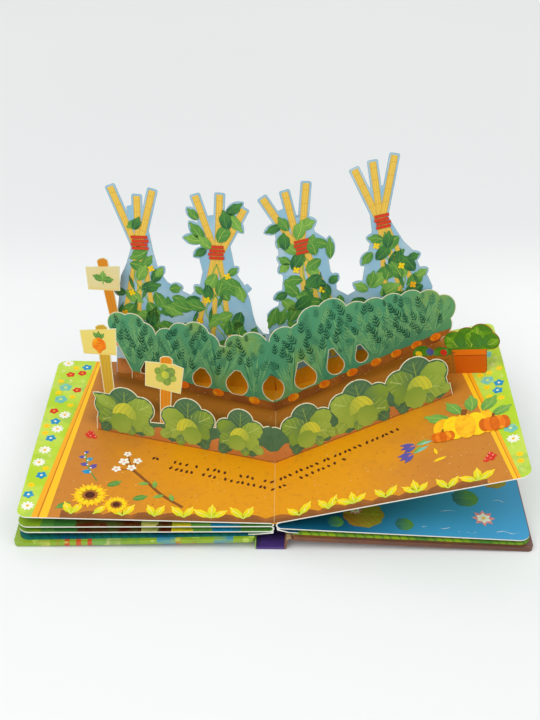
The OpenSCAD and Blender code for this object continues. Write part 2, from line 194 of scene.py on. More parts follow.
Value = Union[float, Wire]


class Tree:
    """One material's shader, written as expressions.

    The card's tooth has a size and a depth in millimetres; its sheen, a blot's size and how far it swings.
    """

    tooth_size: float = 0.9
    tooth_depth: float = 0.05
    sheen_size: float = 14.0
    sheen: float = 0.16

    def __init__(self, name: str, roughness: float = 0.5, specular: float = 0.16) -> None:
        """Starts a material.

        Args:
            name: the material's name.
            roughness: the surface's roughness.
            specular: how strong its gloss is.
        """
        self.material = bpy.data.materials.new(name)
        self.material.use_nodes = True
        self.tree = self.material.node_tree
        self.tree.nodes.clear()
        self.shader = self.tree.nodes.new("ShaderNodeBsdfPrincipled")
        self.shader.inputs["Roughness"].default_value = roughness
        self.shader.inputs["Specular IOR Level"].default_value = specular
        output = self.tree.nodes.new("ShaderNodeOutputMaterial")
        self.tree.links.new(self.shader.outputs[0], output.inputs[0])
        sources = self.tree.nodes.new("ShaderNodeTexCoord").outputs
        self.place, self.facing, self.map = (Wire(self, sources[name]) for name in ("Object", "Normal", "UV"))

    def node(self, kind: str, settings: Dict[str, object], values: Dict[Union[int, str], object],
             out: Union[int, str] = 0) -> Wire:
        """Adds a node.

        Args:
            kind: the node's type.
            settings: its own settings, which are set first.
            values: a number, colour or wire for each of its sockets.
            out: which of its outputs to give back.

        Returns:
            That output.
        """
        made = self.tree.nodes.new(kind)
        for name, setting in settings.items():
            setattr(made, name, setting)
        for name, value in values.items():
            self.feed(made.inputs[name], value)
        return Wire(self, made.outputs[out])

    def feed(self, socket: bpy.types.NodeSocket, value: object) -> None:
        """Links a wire to a socket, or sets the socket's own value."""
        if isinstance(value, Wire):
            self.tree.links.new(value.socket, socket)
        else:
            socket.default_value = value.linear() if isinstance(value, Ink) else value

    def vector(self, operation: str, first: Wire, second: Vector, out: Union[int, str] = 0) -> Wire:
        """Vector arithmetic with a fixed vector."""
        return self.node("ShaderNodeVectorMath", {"operation": operation}, {0: first, 1: tuple(second)}, out)

    def looks(self, way: Vector) -> Wire:
        """How far the surface looks along a way: 1 straight along it, -1 straight against it."""
        return self.vector("DOT_PRODUCT", self.facing, way, "Value")

    def uv(self) -> Tuple[Wire, Wire]:
        """The piece's own map: along a motif from 0 to 1, and across it."""
        return tuple(self.node("ShaderNodeSeparateXYZ", {}, {0: self.map}, axis) for axis in (0, 1))

    def along(self, way: Vector) -> Wire:
        """How far along a way the point on the piece lies, in millimetres."""
        return self.vector("DOT_PRODUCT", self.place, way / MM, "Value")

    def xyz(self) -> Tuple[Wire, Wire, Wire]:
        """The point on the piece as three wires, in millimetres."""
        return tuple(self.along(Vector(axis)) for axis in ((1, 0, 0), (0, 1, 0), (0, 0, 1)))

    def noise(self, size: float, detail: float = 3.0, stretch: Optional[Vector] = None) -> Wire:
        """Soft noise of 0 to 1 over the piece.

        Args:
            size: the width of one blot in millimetres.
            detail: how many finer layers it has.
            stretch: how much faster it changes along each axis.

        Returns:
            The noise.
        """
        here = self.vector("MULTIPLY", self.place, stretch) if stretch else self.place
        values = {"Vector": here, "Scale": 1.0 / (size * MM), "Detail": detail}
        return self.node("ShaderNodeTexNoise", {}, values)

    def mix(self, factor: Value, first: object, second: object) -> Wire:
        """Goes from one colour to another as factor goes from 0 to 1."""
        return self.node("ShaderNodeMix", {"data_type": "RGBA"}, {0: factor, 6: first, 7: second}, 2)

    def blots(self, first: object, second: object, size: float, share: float = 1.0, low: float = 0.35,
              high: float = 0.7, detail: float = 3.0) -> Wire:
        """One colour with soft blots of another.

        Args:
            first: the ground colour.
            second: the blots' colour.
            size: the width of one blot in millimetres.
            share: how strong the blots are.
            low: the noise where a blot starts.
            high: the noise where it is full.
            detail: how many finer layers the noise has.

        Returns:
            The colour.
        """
        blots = self.noise(size, detail).ease(low, high)
        return self.mix(blots * share if share < 1.0 else blots, first, second)

    def dots(self, ground: Wire, ink: Ink, size: float, radius: float, share: float) -> Wire:
        """Small round dots on a colour.

        Args:
            ground: the colour under them.
            ink: their colour.
            size: the distance between dots in millimetres.
            radius: a dot's radius as a share of that distance.
            share: how strong they are.

        Returns:
            The colour.
        """
        values = {"Vector": self.place, "Scale": 1.0 / (size * MM)}
        inside = self.node("ShaderNodeTexVoronoi", {}, values, "Distance") < radius
        return self.mix(inside * share, ground, ink)

    def ramp(self, factor: Wire, stops: Sequence[Tuple[float, Ink]], steps: bool = False) -> Wire:
        """A colour ramp.

        Args:
            factor: where to read it, 0 to 1.
            stops: each stop's place and colour.
            steps: True for bands with hard ends.

        Returns:
            The colour.
        """
        wire = self.node("ShaderNodeValToRGB", {}, {0: factor})
        ramp = wire.socket.node.color_ramp
        ramp.interpolation = "CONSTANT" if steps else "EASE"
        while len(ramp.elements) < len(stops):
            ramp.elements.new(0.5)
        for element, (place, ink) in zip(ramp.elements, stops):
            element.position = place
            element.color = ink.linear()
        return wire

    def finish(self, colour: object, grain: float = 0.35) -> bpy.types.Material:
        """Closes the shader with a colour and the fine tooth of coated card.

        Args:
            colour: the base colour.
            grain: how strong the tooth's bump is.

        Returns:
            The material.
        """
        self.feed(self.shader.inputs["Base Color"], colour)
        height = self.noise(self.tooth_size, 4.0)
        tooth = {"Strength": grain, "Distance": self.tooth_depth * MM, "Height": height}
        self.feed(self.shader.inputs["Normal"], self.node("ShaderNodeBump", {}, tooth))
        rough = self.shader.inputs["Roughness"]
        sheen = self.noise(self.sheen_size, 2.0) * self.sheen
        self.feed(rough, sheen + rough.default_value - self.sheen / 2)
        return self.material


def spun(first: Vector, second: Vector, angle: float) -> Tuple[Vector, Vector]:
    """Turns two axes in their own plane, the first one towards the second, by radians."""
    c, s = math.cos(angle), math.sin(angle)
    return first * c + second * s, second * c - first * s


def toward(turn: float) -> Spot:
    """The unit step that a turn in degrees leads to."""
    return math.cos(math.radians(turn)), math.sin(math.radians(turn))


def heading(start: Spot, end: Spot) -> float:
    """The turn that leads from one spot to another, in degrees."""
    return math.degrees(math.atan2(end[1] - start[1], end[0] - start[0]))


@dataclass(frozen=True, eq=False)
class Plane:
    """A flat face of the book that prints lie on.

    A place on it is (u, v) in millimetres: u runs out from the fold or gutter, v runs up the card
    or, on a page, away from the reader. A card's fold runs out by run for each unit up.
    """

    origin: Vector
    along: Vector
    up: Vector
    out: Vector
    run: float = 0.0

    def at(self, u: float, v: float, n: float = 0.0) -> Vector:
        """The point in metres at (u, v), n millimetres off the face."""
        return self.origin + (self.along * u + self.up * v + self.out * n) * MM

    def local(self, point: Vector) -> Spot:
        """The (u, v) of a point in metres."""
        return (point - self.origin).dot(self.along) / MM, (point - self.origin).dot(self.up) / MM

    def basis(self) -> Matrix:
        """The matrix that turns x, y and z to along, up and out."""
        return Matrix((self.along, self.up, self.out)).transposed().to_4x4()

    def upright(self, turn: float, rise: Union[float, Vector]) -> Tuple[Vector, Vector, Vector]:
        """The axes of a face that stands on this one.

        Args:
            turn: how far its foot turns away from along, in degrees.
            rise: how far it stands up in degrees, or a line that it holds.

        Returns:
            Its along, up and out.
        """
        along, across = spun(self.along, self.up, math.radians(turn))
        if isinstance(rise, Vector):
            stand = math.atan2(rise.dot(self.out), rise.dot(across))
        else:
            stand = math.radians(rise)
        return along, *spun(across, self.out, stand)

    def level(self, tree: Tree, way: Vector) -> Wire:
        """The shader's own distance from the origin along a way, in millimetres."""
        return tree.along(way) - way.dot(self.origin) / MM

    def read(self, tree: Tree) -> Tuple[Wire, Wire]:
        """The shader's own u and v on this face, in millimetres."""
        return self.level(tree, self.along), self.level(tree, self.up)

    def seam(self, tree: Tree, wide: float = 0.9) -> Wire:
        """1 beside the fold, within a width in millimetres, else 0."""
        u, v = self.read(tree)
        return (abs(u - v * self.run) < wide) * (abs(self.level(tree, self.out)) < wide)


@dataclass(frozen=True)
class BookPlan:
    """The sizes that the prints need, in millimetres and degrees, as the book was built."""

    page_w: float = 200.0
    page_h: float = 220.0
    left_rise: float = 1.1
    right_rise: float = 14.3
    gutter_x: float = 3.0
    gutter_z: float = 24.0
    card_t: float = 0.5
    glue_gap: float = 0.02

    def page(self, side: int, y: float = 0.0) -> Plane:
        """The top face of the left (-1) or right (1) page."""
        rise = math.radians(self.left_rise if side < 0 else self.right_rise)
        along = Vector((side * math.cos(rise), 0.0, math.sin(rise)))
        out = Vector((-side * math.sin(rise), 0.0, math.cos(rise)))
        return Plane(Vector((self.gutter_x, y, self.gutter_z)) * MM, along, Vector((0.0, 1.0, 0.0)), out)

    def wing(self, side: int, y: float, turn: float, lean: float, back: float = 0.0) -> Plane:
        """The printed face of a standing wing.

        Args:
            side: -1 for the left wing, 1 for the right one.
            y: where its fold meets the gutter.
            turn: how far its foot turns away from the reader, in degrees.
            lean: how far the fold leans away, in degrees.
            back: how far the card is set back.

        Returns:
            The plane of its printed face.
        """
        page = self.page(side, y)
        tilt = math.radians((self.right_rise - self.left_rise) / 2)
        lean = math.radians(lean)
        fold = Vector((-math.sin(tilt) * math.cos(lean), math.sin(lean), math.cos(tilt) * math.cos(lean)))
        along, up, out = page.upright(turn, fold)
        return Plane(page.origin - out * back * MM, along, up, out, fold.dot(along) / fold.dot(up))


def only(*objects: bpy.types.Object) -> None:
    """Selects these objects and nothing else, the first one active."""
    bpy.ops.object.select_all(action="DESELECT")
    for thing in objects:
        thing.select_set(True)
    bpy.context.view_layer.objects.active = objects[0]


def placed(name: str, data: bpy.types.ID) -> bpy.types.Object:
    """Puts a mesh, camera or lamp in the scene as an object."""
    thing = bpy.data.objects.new(name, data)
    bpy.context.scene.collection.objects.link(thing)
    return thing


@contextmanager
def modelling() -> Iterator[None]:
    """Edit mode for the length of a block."""
    bpy.ops.object.mode_set(mode="EDIT")
    yield
    bpy.ops.object.mode_set(mode="OBJECT")


def choose(test: Callable[[Vector], bool]) -> None:
    """Selects the vertices of the mesh in edit mode that pass a test."""
    mesh = bmesh.from_edit_mesh(bpy.context.object.data)
    for vertex in mesh.verts:
        vertex.select = test(vertex.co)
    mesh.select_flush_mode()
    bmesh.update_edit_mesh(bpy.context.object.data)


def thicken(way: Vector) -> None:
    """Raises the flat mesh in edit mode along a way into a closed film that faces outwards."""
    bpy.ops.mesh.select_all(action="SELECT")
    bpy.ops.mesh.extrude_region_move(TRANSFORM_OT_translate={"value": tuple(way)})
    bpy.ops.mesh.select_all(action="SELECT")
    bpy.ops.mesh.normals_make_consistent(inside=False)


def taken(thing: bpy.types.Object) -> bpy.types.Mesh:
    """Takes a finished object's mesh and removes the object."""
    only(thing)
    bpy.ops.object.transform_apply(location=True, rotation=True, scale=True)
    mesh = thing.data
    bpy.data.objects.remove(thing)
    return mesh


@dataclass(frozen=True)
class Outline:
    """A cut-out made from a disc, or from a strip if it has no corners.

    A pinch is a stretch along it, from and to, and what share of the width it keeps there.
    """

    corners: int
    pinches: Tuple[Tuple[float, float, float], ...] = ()
    wave: float = 0.0
    half: bool = False

    @cached_property
    def mesh(self) -> bpy.types.Mesh:
        """The closed cut-out, from (0, 0) to (1, 0), one unit wide and one unit thick."""
        middle = (0.5, 0.0, 0.0)
        if self.corners:
            bpy.ops.mesh.primitive_circle_add(vertices=self.corners, radius=0.5, fill_type="NGON",
                                              location=middle)
        else:
            bpy.ops.mesh.primitive_plane_add(size=1.0, location=middle)
        thing = bpy.context.object
        with modelling():
            for start, end, keep in self.pinches:
                choose(lambda co: start - 0.5 - 1e-6 <= co.x <= end - 0.5 + 1e-6 and abs(co.y) > 1e-4)
                bpy.ops.transform.resize(value=(1.0, keep, 1.0), center_override=middle)
            if self.wave:
                step = math.tau / self.corners
                inward = 1 - self.wave * 2
                choose(lambda co: round(math.atan2(co.y, co.x) / step) % 2 == 0)
                bpy.ops.transform.resize(value=(inward, inward, 1.0), center_override=middle)
            if self.half:
                bpy.ops.mesh.select_all(action="SELECT")
                bpy.ops.mesh.bisect(plane_co=middle, plane_no=(0, 1, 0), clear_inner=True)
            if not self.corners:
                bpy.ops.mesh.bevel(offset=0.04, segments=2, affect="VERTICES")
            thicken(Vector((0.0, 0.0, 1.0)))
        return taken(thing)


@dataclass(frozen=True)
class Fern:
    """A fern-like sprig: a stalk with pairs of leaflets and one at its tip."""

    pairs: int = 3
    spread: float = 42.0
    leaflet: Outline = Outline(8, ((0.8, 1.0, 0.6),))

    @cached_property
    def mesh(self) -> bpy.types.Mesh:
        """The closed cut-out, from (0, 0) to about (1, 0)."""
        places = [(0.0, 0.0, 0.8, 0.04), (0.74, 0.0, 0.26, 0.1)]
        for step in range(self.pairs):
            places += [(0.1 + 0.25 * step, side * self.spread, 0.44 - 0.07 * step, 0.1) for side in (-1, 1)]
        parts = []
        for x, turn, length, width in places:
            copied = self.leaflet.mesh.copy()
            spin = Matrix.Rotation(math.radians(turn), 4, "Z")
            scale = Matrix.Diagonal((length, width, 1.0, 1.0))
            copied.transform(Matrix.Translation((x, 0, 0)) @ spin @ scale)
            parts.append(placed("leaflet", copied))
        only(*parts)
        bpy.ops.object.join()
        return taken(parts[0])


class Cut(Enum):
    """The cut-outs that motifs are made of, each modelled once and then copied."""

    BLADE = Outline(16, ((0.78, 1.0, 0.45), (0.0, 0.22, 0.45)))
    LEAF = Outline(18, ((0.72, 1.0, 0.5), (0.0, 0.1, 0.7)))
    ROUND = Outline(26, wave=0.035)
    DISC = Outline(20)
    PETAL = Outline(12, ((0.0, 0.4, 0.5),))
    DOME = Outline(24, half=True)
    BAR = Outline(0)
    SPRIG = Fern()


class Card:
    """A packed solid that prints lie on.

    A sheet on it goes down to the foot line, and to the fold but for a gap; foot is how near, beyond the
    rim, a corner has to be to be moved there, and flat how far off the face a face of the print may lie.
    """

    foot: float = 0.3
    foot_line: float = 0.15
    fold_gap: float = 0.02
    flat: float = 0.05

    def __init__(self, thing: bpy.types.Object) -> None:
        """Keeps the solid's object."""
        self.thing = thing

    def dress(self, finish: bpy.types.Material) -> "Card":
        """Gives the solid its finish."""
        if not self.thing.material_slots:
            self.thing.data.materials.append(finish)
        for slot in self.thing.material_slots:
            slot.material = finish
        return self

    def holds(self, plane: Plane, u: float, v: float) -> bool:
        """True where there is card under (u, v) of a plane."""
        return bool(self.thing.ray_cast(plane.at(u, v, 2.0), -plane.out, distance=4 * MM)[0])

    def sheet(self, plane: Plane, finish: bpy.types.Material, rim: float) -> bpy.types.Object:
        """A thin printed sheet over the solid's front, which leaves a rim of bare card at cut edges.

        Args:
            plane: the printed face.
            finish: the print.
            rim: how wide the bare rim is, in millimetres. The sheet keeps its lower edge and its fold.

        Returns:
            The sheet, closed.
        """
        part = placed("sheet", self.thing.data.copy())
        part.data.materials.clear()
        part.data.materials.append(finish)
        only(part)
        with modelling():
            bpy.ops.mesh.select_mode(type="FACE")
            bpy.ops.mesh.select_all(action="SELECT")
            bpy.ops.mesh.remove_doubles(threshold=0.0001 * MM)
            bpy.ops.mesh.select_all(action="DESELECT")
            mesh = bmesh.from_edit_mesh(part.data)
            for face in mesh.faces:
                off = (face.calc_center_median() - plane.origin).dot(plane.out)
                if face.normal.dot(plane.out) < SAME_WAY or abs(off) > self.flat * MM:
                    face.select_set(True)
            bmesh.update_edit_mesh(part.data)
            bpy.ops.mesh.delete(type="FACE")
            bpy.ops.mesh.select_all(action="SELECT")
            bpy.ops.mesh.inset(use_boundary=True, use_even_offset=True, thickness=rim * MM)
            bpy.ops.mesh.select_all(action="INVERT")
            bpy.ops.mesh.delete(type="FACE")
            mesh = bmesh.from_edit_mesh(part.data)
            reach = rim + self.foot
            for vertex in mesh.verts:
                u, v = plane.local(vertex.co)
                v = self.foot_line if v < reach else v
                u = plane.run * v + self.fold_gap if plane.run and abs(u - plane.run * v) < reach else u
                vertex.co = plane.at(u, v, SHEET_LIFT)
            bmesh.update_edit_mesh(part.data)
            thicken(plane.out * SHEET * MM)
            bpy.ops.mesh.customdata_custom_splitnormals_clear()
            bpy.ops.mesh.faces_shade_flat()
            bpy.ops.mesh.select_mode(type="VERT")
        return part


def smooth_line(spots: Sequence[Spot], between: int = 5) -> List[Spot]:
    """A smooth line through some spots, with so many points from one spot to the next."""
    line = []
    last = len(spots) - 1
    for k in range(last):
        near = [spots[min(max(i, 0), last)] for i in (k - 1, k, k + 1, k + 2)]
        for t in (step / between for step in range(between)):
            line.append(tuple(
                0.5 * (2 * b + (c - a) * t + (2 * a - 5 * b + 4 * c - d) * t * t
                       + (3 * b - a - 3 * c + d) * t ** 3)
                for a, b, c, d in zip(*near)))
    return line + [tuple(spots[last])]


@dataclass
class PrintRun:
    """Printed motifs of one card, laid as thin cut-outs and joined into one piece."""

    name: str
    plane: Plane
    card: Optional[Card] = None
    parts: List[bpy.types.Object] = field(default_factory=list)

    def lay(self, cut: Cut, tint: "Tint", u: float, v: float, turn: float, length: float, width: float,
            layer: int = 0) -> None:
        """Lays one cut-out.

        Args:
            cut: the cut-out.
            tint: its finish.
            u: where its start lies, along the face.
            v: where its start lies, up the face.
            turn: its turn in degrees.
            length: its length in millimetres.
            width: its width in millimetres.
            layer: how many films lie under it.
        """
        copied = cut.value.mesh.copy()
        scale = Matrix.Diagonal((length * MM, width * MM, FILM * MM, 1.0))
        spin = Matrix.Rotation(math.radians(turn), 4, "Z")
        there = Matrix.Translation(self.plane.at(u, v, LIFT + layer * LAYER))
        matrix = there @ self.plane.basis() @ spin @ scale
        copied.transform(matrix)
        if matrix.determinant() < 0:
            copied.flip_normals()
        copied.materials.clear()
        copied.materials.append(tint.value.material)
        self.parts.append(placed(self.name, copied))

    def spot(self, cut: Cut, tint: "Tint", u: float, v: float, size: float, layer: int = 0) -> None:
        """Lays one round cut-out about its middle."""
        self.lay(cut, tint, u - size / 2, v, 0, size, size, layer)

    def ring(self, cut: Cut, tint: "Tint", u: float, v: float, count: int, turn: float, length: float,
             width: float, layer: int = 0, layers: int = 1) -> None:
        """Lays a ring of petals, from layer up, on so many layers in turn."""
        for step in range(count):
            self.lay(cut, tint, u, v, turn + step * 360 / count, length, width, layer + step % layers)

    def fits(self, u: float, v: float, turn: float, length: float, width: float, margin: float) -> bool:
        """True where a leaf-shaped cut-out lies on the card with a margin all round."""
        c, s = toward(turn)
        spots = [(-margin, 0.0), (length + margin, 0.0)]
        for along, wide in ((0.5, 1.0), (0.82, 0.62), (0.2, 0.62)):
            spots += [(along * length, side * wide * (width / 2 + margin)) for side in (1, -1)]
        return all(self.card.holds(self.plane, u + a * c - b * s, v + a * s + b * c) for a, b in spots)

    def fit(self, cut: Cut, tint: "Tint", u: float, v: float, turn: float, length: float, width: float,
            layer: int = 0, margin: float = 0.8, least: float = 0.55) -> None:
        """Lays a cut-out at the greatest size, up to the one asked for, that stays on the card."""
        share = 1.0
        while share >= least:
            if self.fits(u, v, turn, length * share, width * share, margin):
                self.lay(cut, tint, u, v, turn, length * share, width * share, layer)
                return
            share -= 0.075

    def ribbon(self, tint: "Tint", spots: Sequence[Spot], width: float, layer: int = 0) -> None:
        """Lays a strip of even width along a smooth line through some spots.

        Args:
            tint: its finish.
            spots: (u, v) places that it passes.
            width: its width in millimetres.
            layer: how many films lie under it.
        """
        line = smooth_line(spots)
        bpy.ops.mesh.primitive_grid_add(x_subdivisions=len(line) - 1, y_subdivisions=1, size=1.0)
        strip = bpy.context.object
        for vertex in strip.data.vertices:
            index = min(range(len(line)), key=lambda k: abs(vertex.co.x + 0.5 - k / (len(line) - 1)))
            before, after = Vector(line[max(index - 1, 0)]), Vector(line[min(index + 1, len(line) - 1)])
            way = (after - before).normalized()
            spot = Vector(line[index]) + Vector((-way.y, way.x)) * width * vertex.co.y
            vertex.co = self.plane.at(spot.x, spot.y, LIFT + layer * LAYER)
        with modelling():
            thicken(self.plane.out * FILM * MM)
        strip.data.materials.append(tint.value.material)
        self.parts.append(strip)

    def done(self, slot: str) -> None:
        """Joins what was laid into one piece, and gives it its body and slot."""
        count = len(self.parts)
        only(*self.parts)
        bpy.ops.object.join()
        piece = self.parts[0]
        only(piece)
        bpy.ops.object.transform_apply(location=True, rotation=True, scale=True)
        piece.name = self.name
        piece.data.name = self.name
        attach(piece, "book_block")
        LOG.info("%s: %d motifs, %d faces", self.name, count, len(piece.data.polygons))


@dataclass(frozen=True)
class Brush:
    """Plain ink with the soft brush marks of the print."""

    ink: Ink
    second: Ink
    blot: float
    share: float

    @cached_property
    def material(self) -> bpy.types.Material:
        """The finish."""
        tree = Tree("ink_" + self.ink.name.lower())
        return tree.finish(tree.blots(self.ink, self.second, self.blot, self.share, 0.42, 0.72, 4.0))


@dataclass(frozen=True)
class Vein:
    """A printed leaf: a midrib, side veins and a shaded foot, along the motif's own map."""

    ink: Ink
    shade: Ink
    vein: Ink
    strength: float = 0.6
    pairs: float = 3.0
    branch: float = 0.03
    rib: float = 0.028

    @cached_property
    def material(self) -> bpy.types.Material:
        """The finish."""
        tree = Tree("vein_" + self.ink.name.lower() + "_" + self.vein.name.lower())
        along, across = tree.uv()
        off = abs(across - 0.5)
        body = tree.mix((1.0 - along).ease(0.15, 1.0) * 0.75, self.ink, self.shade)
        body = tree.blots(body, self.shade, 6.0, 0.35, 0.45, 0.75)
        side = (along - off * 0.9) * self.pairs
        branches = side.stripes(self.branch) * (off < 0.42) * along.within(0.04, 0.9)
        veins = branches.either((off < self.rib) * (along < 0.92))
        return tree.finish(tree.mix(veins * self.strength, body, self.vein))


@dataclass(frozen=True)
class Soft:
    """A plain leaf: its colour deepens softly towards its foot."""

    ink: Ink
    shade: Ink

    @cached_property
    def material(self) -> bpy.types.Material:
        """The finish."""
        tree = Tree("soft_" + self.ink.name.lower())
        body = tree.mix((1.0 - tree.uv()[0]).ease(0.1, 1.0) * 0.8, self.ink, self.shade)
        return tree.finish(tree.blots(body, self.shade, 7.0, 0.25, 0.45, 0.75, 4.0))


@dataclass(frozen=True)
class Folds:
    """The pale heart of a leafy head, with folded leaves as arcs."""

    ink: Ink
    shade: Ink

    @cached_property
    def material(self) -> bpy.types.Material:
        """The finish."""
        tree = Tree("heart_" + self.ink.name.lower())
        along, across = tree.uv()
        arcs = ((along + (across - 0.5) * (across - 0.5) * 1.2) * 5.0).stripes(0.12)
        body = tree.mix((1.0 - along).ease(0.2, 1.0) * 0.8, self.ink, self.shade)
        return tree.finish(tree.mix(arcs * 0.55, body, self.shade))


@dataclass(frozen=True)
class Grain:
    """Painted wood or cane: streaks along the motif's own map, and rings where it has knots."""

    ink: Ink
    shade: Ink
    knots: float = 0.0

    @cached_property
    def material(self) -> bpy.types.Material:
        """The finish."""
        tree = Tree("grain_" + self.ink.name.lower())
        along, across = tree.uv()
        lines = (across * 3.0 + tree.noise(12.0, 2.0) * 0.5).stripes(0.1)
        body = tree.mix(abs(across - 0.5).ease(0.3, 0.5) * 0.6, self.ink, self.shade)
        if self.knots:
            lines = lines.either((along * self.knots).stripes(0.03))
        return tree.finish(tree.mix(lines * 0.5, body, self.shade))


class Tint(Enum):
    """Every finish of the printed motifs."""

    LEAF = Vein(Ink.LEAF, Ink.LEAF_DEEP, Ink.LIME_PALE, 0.5)
    LEAF_DEEP = Vein(Ink.LEAF_DEEP, Ink.SPRIG, Ink.LEAF_LIGHT)
    LEAF_LIGHT = Vein(Ink.LEAF_LIGHT, Ink.LEAF, Ink.LIME_PALE)
    VINE = Brush(Ink.LEAF_LIGHT, Ink.CANE, 9.0, 0.4)
    CROWN = Vein(Ink.CROWN, Ink.CROWN_DEEP, Ink.LIME_PALE, 0.6, 4.0, 0.045, 0.035)
    CROWN_DEEP = Vein(Ink.CROWN_DEEP, Ink.LEAF_DEEP, Ink.CROWN, 0.6, 3.0, 0.03, 0.025)
    HEAD = Vein(Ink.HEAD, Ink.HEAD_DEEP, Ink.VEIN, 0.75, 4.2, 0.035, 0.018)
    HEAD_LIGHT = Vein(Ink.HEAD_LIGHT, Ink.HEAD, Ink.VEIN, 0.75, 4.2, 0.035, 0.018)
    HEAD_DEEP = Vein(Ink.HEAD_DEEP, Ink.HEAD_SHADE, Ink.HEAD_LIGHT, 0.6, 4.6, 0.04, 0.018)
    HEAD_PLAIN = Soft(Ink.HEAD_LIGHT, Ink.HEAD)
    HEAD_SOFT = Soft(Ink.HEAD, Ink.HEAD_DEEP)
    HEART = Folds(Ink.HEART, Ink.HEAD_LIGHT)
    SPROUT = Vein(Ink.YELLOW, Ink.LIME, Ink.WHITE, 0.7, 1.0, 0.0, 0.025)
    FROND = Brush(Ink.HEDGE, Ink.HEDGE_LIGHT, 7.0, 0.8)
    FROND_DEEP = Brush(Ink.HEDGE_DEEP, Ink.HEDGE, 7.0, 0.7)
    FROND_LIGHT = Brush(Ink.HEDGE_LIGHT, Ink.HEDGE, 7.0, 0.6)
    SPRIG = Brush(Ink.SPRIG, Ink.HEDGE_DEEP, 6.0, 0.7)
    CANE = Grain(Ink.CANE, Ink.CANE_DARK, 5.0)
    TWINE = Grain(Ink.TWINE, Ink.SOIL_RED)
    CRATE = Grain(Ink.CRATE, Ink.SOIL_DARK)
    BARK = Grain(Ink.BANK, Ink.SOIL_DARK)
    ORANGE = Brush(Ink.ORANGE, Ink.FENCE, 7.0, 0.6)
    ORANGE_DEEP = Brush(Ink.ORANGE_DEEP, Ink.ORANGE, 7.0, 0.6)
    YELLOW = Brush(Ink.YELLOW, Ink.FENCE, 6.0, 0.6)
    GOLD = Brush(Ink.FENCE, Ink.ORANGE, 8.0, 0.5)
    RED = Brush(Ink.RED, Ink.TWINE, 5.0, 0.6)
    PINK = Brush(Ink.PINK, Ink.WHITE, 6.0, 0.5)
    BLUE = Brush(Ink.BLUE, Ink.TURQUOISE, 6.0, 0.5)
    TURQUOISE = Brush(Ink.TURQUOISE, Ink.LIME_PALE, 6.0, 0.35)
    VIOLET = Brush(Ink.VIOLET, Ink.BLUE, 6.0, 0.4)
    WHITE = Brush(Ink.WHITE, Ink.LIME_PALE, 5.0, 0.25)
    PALE = Brush(Ink.LIME_PALE, Ink.WHITE, 5.0, 0.5)
    BROWN = Brush(Ink.SOIL_BROWN, Ink.BANK, 7.0, 0.6)
    SEED = Brush(Ink.BERRY_SEED, Ink.SOIL_DARK, 4.0, 0.5)
    PAD = Vein(Ink.PAD, Ink.SOIL_BROWN, Ink.LIME, 0.5, 5.0, 0.03, 0.012)
    PAD_GREEN = Vein(Ink.LEAF, Ink.POND_DEEP, Ink.LEAF_LIGHT, 0.5, 5.0, 0.03, 0.012)
    RIPPLE = Brush(Ink.POND, Ink.WHITE, 9.0, 0.9)


